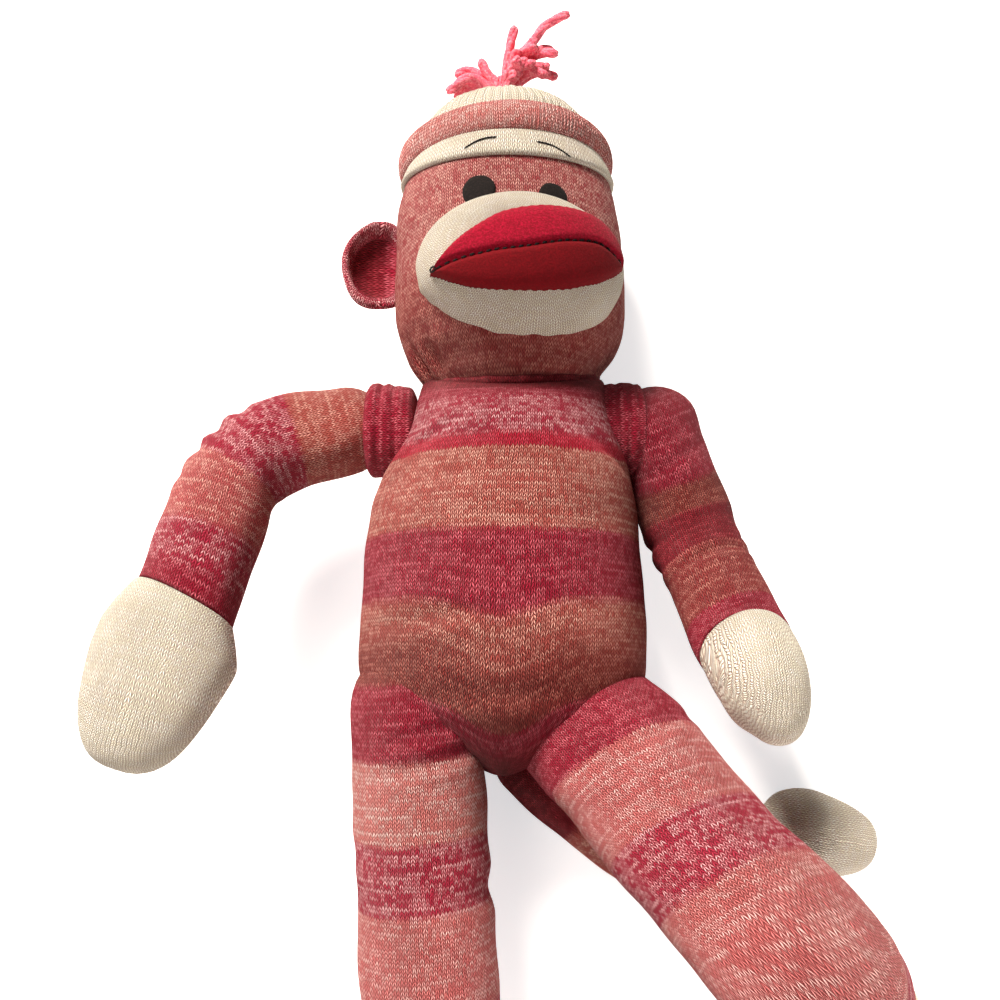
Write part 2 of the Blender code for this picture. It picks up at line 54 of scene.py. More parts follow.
# The table and the light. The doll lies on a pale table under a large soft lamp, which
# stands past its head on its right. Two weak lamps, one at its feet and one low beside
# its left leg, lift the shade there as the room would.
CAMERA_TILT = math.radians(11)
CAMERA_LENS = 37.8
camera_data = bpy.data.cameras.new("camera")
camera_data.sensor_width = 36
camera_data.lens = CAMERA_LENS
camera = bpy.data.objects.new("camera", camera_data)
camera.location = (0, -0.04618, 0.43176)
camera.rotation_euler = (CAMERA_TILT, 0, 0)
scene.collection.objects.link(camera)
scene.camera = camera


def soft_lamp(name, place, target, size, power, colour):
    """A square lamp that faces the target."""
    data = bpy.data.lights.new(name, "AREA")
    data.size = size
    data.energy = power
    data.color = colour
    lamp = bpy.data.objects.new(name, data)
    lamp.location = place
    lamp.rotation_euler = (Vector(target) - Vector(place)).to_track_quat("-Z", "Y").to_euler()
    lamp.visible_camera = False
    scene.collection.objects.link(lamp)


soft_lamp("window_lamp", (-0.96, 2.03, 1.87), (0, 0, 0.04), 0.9, 202, (1.0, 0.93, 0.84))
soft_lamp("room_lamp", (-0.40, -0.52, 0.72), (-0.02, -0.18, 0.03), 0.5, 6.0, (1.0, 0.90, 0.82))
soft_lamp("low_lamp", (0.28, -0.26, 0.13), (0.13, -0.10, 0.02), 0.12, 0.85, (1.0, 0.92, 0.84))

room = bpy.data.worlds.new("room")
room.use_nodes = True
room.node_tree.nodes["Background"].inputs["Color"].default_value = (1.0, 0.88, 0.78, 1)
room.node_tree.nodes["Background"].inputs["Strength"].default_value = 0.10
scene.world = room

bpy.ops.mesh.primitive_plane_add(size=6, location=(0, 0, 0))
table = bpy.context.object
table.name = "table"
table.select_set(False)
table_finish = bpy.data.materials.new("pale_table")
table_finish.use_nodes = True
table_tree = table_finish.node_tree
table_shader = table_tree.nodes["Principled BSDF"]
table_shader.inputs["Base Color"].default_value = (0.86, 0.86, 0.86, 1)
table_shader.inputs["Roughness"].default_value = 0.9
table_shader.inputs["Specular IOR Level"].default_value = 0.1
seen = table_tree.nodes.new("ShaderNodeLightPath")
table_shader.inputs["Emission Color"].default_value = (0.94, 0.97, 1, 1)
glow = table_tree.nodes.new("ShaderNodeMath")
glow.operation = "MULTIPLY"
glow.inputs[1].default_value = 0.62
table_tree.links.new(seen.outputs["Is Camera Ray"], glow.inputs[0])
table_tree.links.new(glow.outputs[0], table_shader.inputs["Emission Strength"])
table.data.materials.append(table_finish)


# Torso: the body of the sock, a wide flattened tube of machine knitting in bands of
# space-dyed salmon and magenta yarn, packed with fibre and drawn in at neck and hips.
WALE = 0.00162
COURSE = 0.00140
TORSO_OUTLINE = (
    (0.0805, 0.0322), (0.0775, 0.0335), (0.0745, 0.0345),
    (0.0690, 0.0358), (0.0635, 0.0374), (0.0560, 0.0398),
    (0.0483, 0.0428), (0.0371, 0.0470), (0.0260, 0.0492),
    (0.0131, 0.0507), (-0.0040, 0.0522), (-0.0160, 0.0526),
    (-0.0270, 0.0524), (-0.0350, 0.0519), (-0.0400, 0.0506),
    (-0.0450, 0.0478), (-0.0500, 0.0428), (-0.0550, 0.0350),
    (-0.0600, 0.0260), (-0.0650, 0.0165), (-0.0715, 0.0080),
)
TORSO_DEPTH = (
    (0.0805, 0.0270), (0.0775, 0.0290), (0.0745, 0.0310),
    (0.0690, 0.0345), (0.0635, 0.0368), (0.0540, 0.0394),
    (0.0400, 0.0410), (0.0260, 0.0422), (0.0080, 0.0428),
    (-0.0040, 0.0425), (-0.0160, 0.0412), (-0.0270, 0.0385),
    (-0.0350, 0.0360), (-0.0420, 0.0336), (-0.0500, 0.0300),
    (-0.0550, 0.0264), (-0.0600, 0.0218), (-0.0650, 0.0162),
    (-0.0715, 0.0090),
)
TORSO_MIDDLE = (
    (0.0805, 0.0056), (0.0635, 0.0052), (0.0483, 0.0044),
    (0.0371, 0.0024), (0.0260, 0.0012), (-0.0720, 0.0010),
)
TORSO_HEIGHT = 0.0427


def dye(red, green, blue):
    """A colour as a screen shows it, from 0 to 255, turned into the light that a material takes."""
    seen = [value / 255 for value in (red, green, blue)]
    return [value / 12.92 if value <= 0.04045 else ((value + 0.055) / 1.055) ** 2.4 for value in seen] + [1.0]


YARNS = {
    "salmon": (dye(200, 96, 88), dye(246, 180, 164)),
    "rose": (dye(212, 98, 100), dye(252, 184, 174)),
    # Painted light: a lighter copy of the rose yarn, for the left leg's bands where the lamp falls full on
    # them.
    "rose_in_light": (dye(222, 118, 118), dye(253, 196, 192)),
    "magenta": (dye(170, 20, 54), dye(222, 104, 120)),
    "wine": (dye(136, 10, 34), dye(184, 56, 70)),
    "crimson": (dye(200, 20, 56), dye(230, 76, 98)),
    "streaked": (dye(188, 30, 66), dye(253, 184, 190)),
    "petal": (dye(232, 136, 132), dye(254, 212, 206)),
    # Painted shade: a darker copy of the salmon yarn, laid on bands that lie in shade: the lower belly, part
    # of the left arm and the right leg's hip.
    "salmon_in_shade": (dye(146, 54, 50), dye(200, 116, 104)),
    "cream": (dye(238, 233, 212), dye(247, 246, 236)),
    "marl": (dye(190, 76, 82), dye(242, 178, 168)),
    # Painted shade: a darker copy of the pink yarn, laid where the lower head and the left forearm lie in
    # shade.
    "pink_in_shade": (dye(158, 54, 56), dye(212, 132, 120)),
}


def calc(tree, operation, *values):
    """A Math node fed by numbers or sockets, given as its output."""
    node = tree.nodes.new("ShaderNodeMath")
    node.operation = operation
    for socket, value in zip(node.inputs, values):
        if isinstance(value, (int, float)):
            socket.default_value = value
        else:
            tree.links.new(value, socket)
    return node.outputs[0]


def joined(tree, x, y):
    """Two values as one vector."""
    node = tree.nodes.new("ShaderNodeCombineXYZ")
    tree.links.new(x, node.inputs[0])
    tree.links.new(y, node.inputs[1])
    return node.outputs[0]


def stockinette():
    """Rows of V stitches that wander a little, from a map that counts wales across and courses along."""
    group = bpy.data.node_groups.new("stockinette", "ShaderNodeTree")
    group.interface.new_socket("Stitches", in_out="INPUT", socket_type="NodeSocketVector")
    for name in ("Height", "Row", "Stitch", "Streak"):
        group.interface.new_socket(name, in_out="OUTPUT", socket_type="NodeSocketFloat")
    start = group.nodes.new("NodeGroupInput")
    end = group.nodes.new("NodeGroupOutput")
    wander = group.nodes.new("ShaderNodeTexNoise")
    wander.noise_dimensions = "2D"
    wander.inputs["Scale"].default_value = 0.28
    wander.inputs["Detail"].default_value = 2.0
    group.links.new(start.outputs["Stitches"], wander.inputs["Vector"])
    pushed = group.nodes.new("ShaderNodeVectorMath")
    pushed.operation = "MULTIPLY_ADD"
    pushed.inputs[1].default_value = (0.9, 0.9, 0)
    group.links.new(wander.outputs["Color"], pushed.inputs[0])
    group.links.new(start.outputs["Stitches"], pushed.inputs[2])
    split = group.nodes.new("ShaderNodeSeparateXYZ")
    group.links.new(pushed.outputs[0], split.inputs[0])
    wale, course = split.outputs[0], split.outputs[1]
    off_middle = calc(group, "SUBTRACT", calc(group, "FRACT", wale), 0.5)
    out = calc(group, "MULTIPLY", calc(group, "ABSOLUTE", off_middle), 2.0)
    leaning = calc(group, "MULTIPLY_ADD", out, -1.1, course)
    through = calc(group, "FRACT", leaning)
    row = calc(group, "SUBTRACT", leaning, through)
    left = calc(group, "SUBTRACT", 1.0, through)
    round_yarn = calc(group, "MULTIPLY", calc(group, "MULTIPLY", through, left), 4.0)
    round_yarn = calc(group, "POWER", round_yarn, 1.1)
    aside = calc(group, "ABSOLUTE", calc(group, "MULTIPLY_ADD", out, 2.0, -1.0))
    gutter = calc(group, "MULTIPLY_ADD", calc(group, "POWER", aside, 2.0), -0.88, 1.0)
    height = calc(group, "MULTIPLY", round_yarn, gutter)
    chance = group.nodes.new("ShaderNodeTexWhiteNoise")
    chance.noise_dimensions = "2D"
    group.links.new(joined(group, calc(group, "FLOOR", wale), row), chance.inputs["Vector"])
    run = group.nodes.new("ShaderNodeTexNoise")
    run.noise_dimensions = "2D"
    run.inputs["Scale"].default_value = 1.0
    run.inputs["Detail"].default_value = 2.0
    along_row = calc(group, "MULTIPLY", wale, 0.06)
    group.links.new(joined(group, along_row, calc(group, "MULTIPLY", row, 0.83)), run.inputs["Vector"])
    group.links.new(height, end.inputs["Height"])
    group.links.new(row, end.inputs["Row"])
    group.links.new(chance.outputs["Value"], end.inputs["Stitch"])
    group.links.new(run.outputs["Fac"], end.inputs["Streak"])
    return group


STOCKINETTE = stockinette()


def mixed(tree, kind, factor, first, second):
    """Two colours mixed, each a socket or a plain colour."""
    node = tree.nodes.new("ShaderNodeMix")
    node.data_type = "RGBA"
    node.blend_type = kind
    for socket, value in ((node.inputs["Factor"], factor), (node.inputs[6], first), (node.inputs[7], second)):
        if isinstance(value, bpy.types.NodeSocket):
            tree.links.new(value, socket)
        else:
            socket.default_value = value
    return node.outputs[2]


def banded(tree, factor, bands, length, pick):
    """A ramp of the yarns' grounds or flecks, from bands given as start, softness and yarn."""
    node = tree.nodes.new("ShaderNodeValToRGB")
    ramp = node.color_ramp
    stops = []
    for i, (start, soft, yarn) in enumerate(bands):
        colour = YARNS[yarn][pick]
        if i:
            stops.append((start + soft / 2, colour))
        if i + 1 < len(bands):
            stops.append((bands[i + 1][0] - bands[i + 1][1] / 2, colour))
        elif not i:
            stops.append((start, colour))
    while len(ramp.elements) > 1:
        ramp.elements.remove(ramp.elements[-1])
    for i, (place, colour) in enumerate(stops):
        spot = min(max(place / length, 0.0), 1.0)
        element = ramp.elements[0] if i == 0 else ramp.elements.new(spot)
        element.position = spot
        element.color = colour
    tree.links.new(factor, node.inputs[0])
    return node.outputs[0]


def knitting(name, bands, length=0.1, flecks=0.5, gap=0.17, relief=0.0010, streaks=2.4):
    """A knitted finish in dyed bands, whose yarn is flecked and fuzzy, painted with shade between stitches
    and with light on their crests.
    """
    made = bpy.data.materials.new(name)
    made.use_nodes = True
    tree = made.node_tree
    shader = tree.nodes["Principled BSDF"]
    shader.inputs["Roughness"].default_value = 0.95
    shader.inputs["Specular IOR Level"].default_value = 0.15
    shader.inputs["Sheen Weight"].default_value = 0.06
    shader.inputs["Sheen Roughness"].default_value = 0.45
    shader.inputs["Sheen Tint"].default_value = (1.0, 0.90, 0.86, 1)
    chart = tree.nodes.new("ShaderNodeUVMap")
    chart.uv_map = "stitches"
    stitch = tree.nodes.new("ShaderNodeGroup")
    stitch.node_tree = STOCKINETTE
    tree.links.new(chart.outputs[0], stitch.inputs[0])
    ragged = calc(tree, "MULTIPLY_ADD", stitch.outputs["Streak"], 1.6, stitch.outputs["Row"])
    factor = calc(tree, "MULTIPLY", calc(tree, "SUBTRACT", ragged, 0.8), COURSE / length)
    ground = banded(tree, factor, bands, length, 0)
    fleck = banded(tree, factor, bands, length, 1)
    chance = calc(tree, "MULTIPLY_ADD", stitch.outputs["Stitch"], 1.25, flecks - 0.68)
    lit = calc(tree, "MULTIPLY_ADD", calc(tree, "SUBTRACT", stitch.outputs["Streak"], 0.5), streaks, chance)
    # The lighter ply shows most on each stitch's crest: real flecks of the yarn, and also a painted highlight
    # on the raised yarn.
    crest = calc(tree, "MULTIPLY", calc(tree, "MAXIMUM", lit, 0.04), stitch.outputs["Height"])
    colour = mixed(tree, "MIX", crest, ground, fleck)
    place = tree.nodes.new("ShaderNodeTexCoord")
    mottle = tree.nodes.new("ShaderNodeTexNoise")
    mottle.inputs["Scale"].default_value = 60.0
    mottle.inputs["Detail"].default_value = 3.0
    tree.links.new(place.outputs["Object"], mottle.inputs["Vector"])
    # Painted shade between stitches: the colour darkens, and turns redder, where the yarn dips into the holes
    # of the knitting.
    hollow_shade = calc(tree, "MULTIPLY_ADD", stitch.outputs["Height"], 1.14 - gap, gap - 0.10)
    shade = calc(tree, "MULTIPLY_ADD", mottle.outputs["Fac"], 0.22, hollow_shade)
    depth = tree.nodes.new("ShaderNodeCombineColor")
    for socket, power in zip(depth.inputs, (0.9, 1.2, 1.2)):
        tree.links.new(calc(tree, "POWER", shade, power), socket)
    colour = mixed(tree, "MULTIPLY", 1.0, colour, depth.outputs[0])
    tree.links.new(colour, shader.inputs["Base Color"])
    fibres = tree.nodes.new("ShaderNodeTexNoise")
    fibres.inputs["Scale"].default_value = 2600.0
    fibres.inputs["Detail"].default_value = 2.0
    tree.links.new(place.outputs["Object"], fibres.inputs["Vector"])
    bump = tree.nodes.new("ShaderNodeBump")
    bump.inputs["Distance"].default_value = relief
    bump.inputs["Strength"].default_value = 0.9
    fuzzy = calc(tree, "MULTIPLY_ADD", fibres.outputs["Fac"], 0.25, stitch.outputs["Height"])
    tree.links.new(fuzzy, bump.inputs["Height"])
    tree.links.new(bump.outputs[0], shader.inputs["Normal"])
    return made


def spaced(length, first, last, step=0.0013, turns=10):
    """Stations along a tube, crowded where its ends are rounded over first and last."""
    near = first * (1 - np.cos(np.linspace(0, np.pi / 2, turns)))
    far = length - last * (1 - np.cos(np.linspace(np.pi / 2, 0, turns)))
    count = max(2, int((length - first - last) / step))
    return np.concatenate([near[:-1], np.linspace(first, length - last, count), far[1:]])


def closing(along, length, first, last, power_first=2.0, power_last=2.0):
    """What is left of a tube's radius towards its two rounded ends, from 0 to 1."""
    a = np.clip(1 - along / first, 0, 1)
    b = np.clip(1 - (length - along) / last, 0, 1)
    return (1 - a ** power_first) ** (1 / power_first) * (1 - b ** power_last) ** (1 / power_last)


def lumps(along, angle, seed, size):
    """Uneven filling: a few slow waves over the surface."""
    total = 0
    for k, (turns, pitch) in enumerate(((2, 0.050), (3, 0.034), (5, 0.021))):
        total = total + np.sin(turns * angle + seed * (k + 1.7) + 2 * np.pi * along / pitch) / (k + 1)
    return total * size


def fold(along, angle, at, facing, reach, width, depth, slant=0.0):
    """A crease across part of a tube: a groove with a soft ridge on each side."""
    turn = (angle - facing + np.pi) % (2 * np.pi) - np.pi
    off = (along - at - slant * turn) / width
    fade = np.clip(1 - (turn / reach) ** 2, 0, None) ** 2
    return depth * fade * (0.45 * (np.exp(-(off - 1.6) ** 2) + np.exp(-(off + 1.6) ** 2)) - np.exp(-off ** 2))


def carried(path, across):
    """A path's direction and two square ones at each point, carried along it without twisting."""
    ways = np.gradient(path, axis=0)
    ways /= np.linalg.norm(ways, axis=1)[:, None]
    side = np.array(across, float)
    sides = []
    for way in ways:
        side = side - way * side.dot(way)
        side /= np.linalg.norm(side)
        sides.append(side.copy())
    sides = np.array(sides)
    return ways, sides, np.cross(ways, sides)


def settled(points, soft=0.0025):
    """Points pressed flat where they would go below the table."""
    low = points[..., 2] < soft
    pressed = soft * np.exp((np.minimum(points[..., 2], soft) - soft) / soft)
    points[..., 2] = np.where(low, pressed, points[..., 2])
    return points


def link_piece(name, mesh, finish):
    """A smooth piece from a mesh, with its finish."""
    mesh.update()
    for face in mesh.polygons:
        face.use_smooth = True
    mesh.materials.append(finish)
    piece = bpy.data.objects.new(name, mesh)
    scene.collection.objects.link(piece)
    return piece


def charted(name, points, faces, chart, finish):
    """A smooth piece from points and faces, with its chart of stitches."""
    mesh = bpy.data.meshes.new(name)
    mesh.from_pydata([tuple(p) for p in points.reshape(-1, 3)], [], faces)
    mesh.uv_layers.new(name="stitches").data.foreach_set("uv", np.array(chart, np.float32).ravel())
    return link_piece(name, mesh, finish)


def knit_tube(name, rings, charts, finish):
    """A closed tube of knitting or felt from rings of points, [station, angle], with a chart of stitches.

    charts holds the wales round the tube and the course number of each station.
    """
    wales, courses = charts
    count, around = rings.shape[:2]
    courses = np.broadcast_to(np.reshape(courses, (count, -1)), (count, around))
    points = np.concatenate([rings.reshape(-1, 3), [rings[0].mean(0), rings[-1].mean(0)]])
    first, last = len(points) - 2, len(points) - 1
    faces, chart = [], []
    step = wales / around
    for i in range(count - 1):
        for j in range(around):
            k = (j + 1) % around
            faces.append((i * around + j, i * around + k, (i + 1) * around + k, (i + 1) * around + j))
            chart += [(j * step, courses[i, j]), ((j + 1) * step, courses[i, k])]
            chart += [((j + 1) * step, courses[i + 1, k]), (j * step, courses[i + 1, j])]
    for j in range(around):
        k = (j + 1) % around
        faces.append((first, k, j))
        chart += [((j + 0.5) * step, courses[0, j] - 0.3), ((j + 1) * step, courses[0, k])]
        chart += [(j * step, courses[0, j])]
        base = (count - 1) * around
        faces.append((last, base + j, base + k))
        chart += [((j + 0.5) * step, courses[-1, j] + 0.3), (j * step, courses[-1, j])]
        chart += [((j + 1) * step, courses[-1, k])]
    return charted(name, points, faces, chart, finish)


def ringed(path, across, wide, tall, swell=0.0, shift=0.0):
    """Rings of points round a path: half sizes towards across and beside it, plus swell and shift."""
    ways, sides, besides = carried(path, across)
    count, around = np.broadcast_shapes(np.shape(swell), np.shape(shift), (len(path), 1))
    angle = np.linspace(0, 2 * np.pi, around, endpoint=False)
    a = (wide[:, None] + swell) * np.cos(angle)
    b = (tall[:, None] + swell) * np.sin(angle)
    moved = np.broadcast_to(shift, (count, around))
    return (
        path[:, None, :] + a[..., None] * sides[:, None, :] + b[..., None] * besides[:, None, :]
        + moved[..., None] * ways[:, None, :]
    )


def grid(along, around):
    """Stations and angles as two tables of the same shape."""
    return np.meshgrid(along, np.linspace(0, 2 * np.pi, around, endpoint=False), indexing="ij")


def along_table(table, value):
    """A smooth reading of a table of (place, size) at the places given."""
    places, sizes = np.array(sorted(table)).T
    fine = np.linspace(places[0], places[-1], 400)
    rough = np.interp(fine, places, sizes)
    kernel = np.hanning(27)[1:-1] / np.hanning(27)[1:-1].sum()
    soft = np.convolve(np.pad(rough, 12, mode="edge"), kernel, mode="same")[12:-12]
    return np.interp(value, fine, soft)


FRONT = np.pi
TORSO_FOLDS = (
    (0.0975, FRONT + 0.5, 0.9, 0.0035, 0.0010, 0.006), (0.0370, FRONT - 0.9, 0.6, 0.0030, 0.0012, -0.020),
    (0.0370, FRONT + 0.9, 0.6, 0.0030, 0.0012, 0.020), (0.1230, FRONT, 0.9, 0.0040, 0.0008, 0.0),
    (0.0640, FRONT - 0.2, 1.2, 0.0060, 0.0005, 0.002),
)
TORSO_TOP = 0.0800
TORSO_SEAT = 0.0715
TORSO_ROUND = (0.0055, 0.0080)
torso_length = TORSO_TOP + TORSO_SEAT
torso_along = spaced(torso_length, *TORSO_ROUND, 0.0012)
torso_place = TORSO_TOP - torso_along
torso_round = closing(torso_along, torso_length, *TORSO_ROUND, 2.2, 2.0)
wide = along_table(TORSO_OUTLINE, torso_place) * torso_round
deep = along_table(TORSO_DEPTH, torso_place) * torso_round
path = np.stack([np.zeros_like(torso_place), torso_place, np.full_like(torso_place, TORSO_HEIGHT)], axis=1)
along, angle = grid(torso_along, 224)
swell = lumps(along, angle, 2.0, 0.00035)
for crease in TORSO_FOLDS:
    swell += fold(along, angle, *crease)
swell *= torso_round[:, None]
collar = 0.0105 * np.clip(-np.cos(angle), 0, 1) ** 1.5 * np.exp(-(along / 0.014) ** 2)
rings = settled(ringed(path, (0, 0, -1), deep, wide, swell, collar))
rings[..., 0] += along_table(TORSO_MIDDLE, torso_place)[:, None]
across = wide[:, None] * np.sin(angle) / 0.0180
lower = np.clip((along - 0.060) / 0.075, 0, 1)
dip = 0.0130 * np.exp(-across ** 2) * lower * lower * (3 - 2 * lower)
# The darker salmon band on the lower belly, between the hips, is painted shade.
TORSO_BANDS = (
    (0.0, 0, "wine"), (0.0100, 0.004, "magenta"), (0.0170, 0.003, "streaked"), (0.0335, 0.001, "crimson"),
    (0.0385, 0.001, "salmon"), (0.0665, 0.002, "magenta"),
    (0.0905, 0.004, "salmon"), (0.1030, 0.016, "salmon_in_shade"),
    (0.1225, 0.002, "magenta"), (0.1300, 0.004, "wine"),
)
torso = knit_tube(
    "torso", rings, (196, (along - dip) / COURSE),
    knitting("torso_knit", TORSO_BANDS, torso_length, flecks=0.6),
)
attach(torso, "torso")
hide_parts("torso_skin", "torso_filling")


# Head: a plain tube of pink marl sock, closed and gathered at the neck, filled round
# and hard, with a packed core in the neck that lets it nod and turn.
NECK = Vector((0.0045, 0.0860, 0.0438))
HEAD_AXIS = Vector((-0.028, 1.0, 0.0)).normalized()
HEAD_OUTLINE = (
    (0.0985, 0.0130), (0.0925, 0.0255), (0.0820, 0.0345), (0.0710, 0.0395), (0.0590, 0.0427),
    (0.0450, 0.0443), (0.0270, 0.0446), (0.0130, 0.0440),
    (0.0040, 0.0424), (-0.0020, 0.0396), (-0.0060, 0.0362),
    (-0.0100, 0.0335), (-0.0160, 0.0315), (-0.0230, 0.0290),
)
FACE_TURN = 7

head_side = Vector((1, 0, 0)) - HEAD_AXIS * HEAD_AXIS.x
head_side.normalize()
HEAD_FRONT = head_side.cross(HEAD_AXIS)


def head_radius(height):
    return along_table(HEAD_OUTLINE, height)


def on_head(turn, height, off=0.0):
    """Points by their turn in degrees from the face's middle, their height, and their distance off."""
    angle = np.radians(np.asarray(turn, float) + FACE_TURN)
    reach = head_radius(height) + off
    return (
        np.array(NECK) + np.asarray(height, float)[..., None] * np.array(HEAD_AXIS)
        + (reach * np.sin(angle))[..., None] * np.array(head_side)
        + (reach * np.cos(angle))[..., None] * np.array(HEAD_FRONT)
    )


HEAD_TOP = 0.0990
HEAD_ROUND = (0.0100, 0.0110)
head_length = 0.1215
head_along = spaced(head_length, *HEAD_ROUND, 0.0013)
head_height = HEAD_TOP - head_along
radius = along_table(HEAD_OUTLINE, head_height) * closing(head_along, head_length, *HEAD_ROUND, 2.0, 2.0)
path = np.array(NECK) + head_height[:, None] * np.array(HEAD_AXIS)
along, angle = grid(head_along, 192)
swell = lumps(along, angle, 4.1, 0.0003)
swell += fold(along, angle, 0.0960, FRONT, 1.8, 0.0030, 0.0008, 0.0)
for k in range(9):
    gather = np.exp(-((along - 0.1060) / 0.0060) ** 2)
    swell += 0.0003 * gather * np.sin(angle * (17 + k) + k * 1.9)
rings = settled(ringed(path, (0, 0, -1), radius, radius, swell * (radius[:, None] > 0.004)))
# The darker marl on the lower head is painted shade under the muzzle.
MARL_BANDS = ((0.0, 0, "marl"), (0.0740, 0.024, "pink_in_shade"))
head = knit_tube(
    "head", rings, (178, head_along / COURSE),
    knitting("head_knit", MARL_BANDS, head_length, flecks=0.75, streaks=0.9),
)
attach(head, "head")
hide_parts("head_skin", "head_filling")


# Neck: the gathered end of the body sock, sewn round the head's packed neck, where it
# makes a thin rippled roll of dark knitting.
neck_turns = np.linspace(0, 2 * np.pi, 160, endpoint=False)


def hoop(name, middle, axis, side, radius, section, wales, finish, courses=8):
    """A closed roll of knitting round an axis: section holds its half width and half height."""
    axis, side = np.array(axis), np.array(side)
    other = np.cross(axis, side)
    turns, steps = radius.shape
    around = np.linspace(0, 2 * np.pi, turns, endpoint=False)
    across = np.linspace(0, 2 * np.pi, steps, endpoint=False)
    out = np.cos(around)[:, None] * side + np.sin(around)[:, None] * other
    reach = radius + section[0] * np.cos(across)
    rise = section[1] * np.sin(across)
    points = np.array(middle) + reach[..., None] * out[:, None, :]
    points = points + (rise * np.ones((turns, 1)))[..., None] * axis
    points = settled(points)
    faces, chart = [], []
    for i in range(turns):
        k = (i + 1) % turns
        for j in range(steps):
            m = (j + 1) % steps
            faces.append((i * steps + j, k * steps + j, k * steps + m, i * steps + m))
            u0, u1 = i * wales / turns, (i + 1) * wales / turns
            v0, v1 = j * courses / steps, (j + 1) * courses / steps
            chart += [(u0, v0), (u1, v0), (u1, v1), (u0, v1)]
    return charted(name, points, faces, chart, finish)


oval = 1 / np.sqrt((np.cos(neck_turns) / 0.0310) ** 2 + (np.sin(neck_turns) / 0.0285) ** 2)
ripple = oval + 0.0004 * np.sin(neck_turns * 13 + 1) + 0.0003 * np.sin(neck_turns * 29)
neck_roll = hoop(
    "neck_roll", (0.0053, 0.0765, 0.0437), Vector((-0.02, 0.94, 0.30)).normalized(), head_side,
    ripple[:, None] * np.ones((1, 20)),
    (0.0018, 0.0018), 150, knitting("neck_knit", ((0.0, 0, "wine"),), flecks=0.5),
)
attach(neck_roll, "neck")
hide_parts("neck_wad")


# Forehead: a cream panel of the sock's heel yarn, laid over the brow under the hat,
# its lower edge turned under and sewn in an arch.
PANEL_EDGE = Vector((0.0, 0.1465, 0.0900))
PANEL_SLOPE = math.radians(9)
PANEL_TOP = 0.0800


def panel_bottom(turn):
    """The height on the head at which the panel's edge lies, for a turn in degrees."""
    low, high = np.full_like(turn, 0.02), np.full_like(turn, 0.0780)
    for _ in range(30):
        height = (low + high) / 2
        spot = on_head(turn, height) - np.array(PANEL_EDGE)
        above = spot[..., 1] * math.cos(PANEL_SLOPE) + spot[..., 2] * math.sin(PANEL_SLOPE) > 0
        high = np.where(above, height, high)
        low = np.where(above, low, height)
    return (low + high) / 2


panel_turn = np.linspace(-180, 180, 181)[:-1]
bottom = panel_bottom(panel_turn)
profile = (
    (0.0, 0.0000), (0.0, 0.0009), (0.03, 0.0017), (0.10, 0.0021), (0.3, 0.0019), (0.6, 0.0017),
    (1.0, 0.0015), (1.0, 0.0),
)
rows = []
for share, off in profile:
    height = bottom + (PANEL_TOP - bottom) * share
    rows.append(on_head(panel_turn, height, np.full_like(height, off)))
rows = settled(np.array(rows))


def band_piece(name, rows, charts, finish, closed=False):
    """A strip of knitting from rows of points, each row running round; closed joins last to first."""
    wales, courses = charts
    count, around = rows.shape[:2]
    faces, chart = [], []
    step = wales / around
    steps = count if closed else count - 1
    for i in range(steps):
        n = (i + 1) % count
        for j in range(around):
            k = (j + 1) % around
            faces.append((i * around + j, i * around + k, n * around + k, n * around + j))
            v0, v1 = courses[i], courses[n] if n else courses[-1] + 1
            chart += [(j * step, v0), ((j + 1) * step, v0), ((j + 1) * step, v1), (j * step, v1)]
    return charted(name, rows, faces, chart, finish)


def outward(piece):
    """Normals recalculated on a closed shell."""
    shell = bmesh.new()
    shell.from_mesh(piece.data)
    bmesh.ops.recalc_face_normals(shell, faces=shell.faces)
    shell.to_mesh(piece.data)
    shell.free()
    return piece


panel_courses = np.cumsum([0] + [
    float(np.linalg.norm(rows[i + 1] - rows[i], axis=1).mean()) / COURSE for i in range(len(rows) - 1)
])
cream_knit = knitting("cream_knit", ((0.0, 0, "cream"),), flecks=0.6, gap=0.46)
panel = outward(band_piece("forehead_panel_cloth", rows, (170, panel_courses), cream_knit, closed=True))
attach(panel, "head")
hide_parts("forehead_panel")


# Brows: one arch of fine twisted black thread over each eye, sewn through the cream
# panel and lying on top of it.
BROW_ENDS = {"left": ((7.4, 0.0663), (24.4, 0.0620)), "right": ((-28.1, 0.0650), (-12.1, 0.0682))}
BROW_RISE = 0.0012


def plain_finish(
    name, colour, roughness, grain=900.0, depth=0.0003, sheen=0.0, speckle=None, spread=(0.45, 0.75),
):
    """A fibrous finish of one colour, with lighter specks where asked."""
    made = bpy.data.materials.new(name)
    made.use_nodes = True
    tree = made.node_tree
    shader = tree.nodes["Principled BSDF"]
    shader.inputs["Roughness"].default_value = roughness
    shader.inputs["Specular IOR Level"].default_value = 0.2
    shader.inputs["Sheen Weight"].default_value = sheen
    place = tree.nodes.new("ShaderNodeTexCoord")
    hairs = tree.nodes.new("ShaderNodeTexNoise")
    hairs.inputs["Scale"].default_value = grain
    hairs.inputs["Detail"].default_value = 4.0
    hairs.inputs["Distortion"].default_value = 0.6
    tree.links.new(place.outputs["Object"], hairs.inputs["Vector"])
    lift = tree.nodes.new("ShaderNodeMapRange")
    lift.inputs["From Min"].default_value = spread[0]
    lift.inputs["From Max"].default_value = spread[1]
    tree.links.new(hairs.outputs["Fac"], lift.inputs["Value"])
    other = speckle or [min(1.0, value * 1.5) for value in colour[:3]] + [1.0]
    tree.links.new(mixed(tree, "MIX", lift.outputs["Result"], colour, other), shader.inputs["Base Color"])
    bump = tree.nodes.new("ShaderNodeBump")
    bump.inputs["Distance"].default_value = depth
    bump.inputs["Strength"].default_value = 0.8
    tree.links.new(hairs.outputs["Fac"], bump.inputs["Height"])
    tree.links.new(bump.outputs[0], shader.inputs["Normal"])
    return made


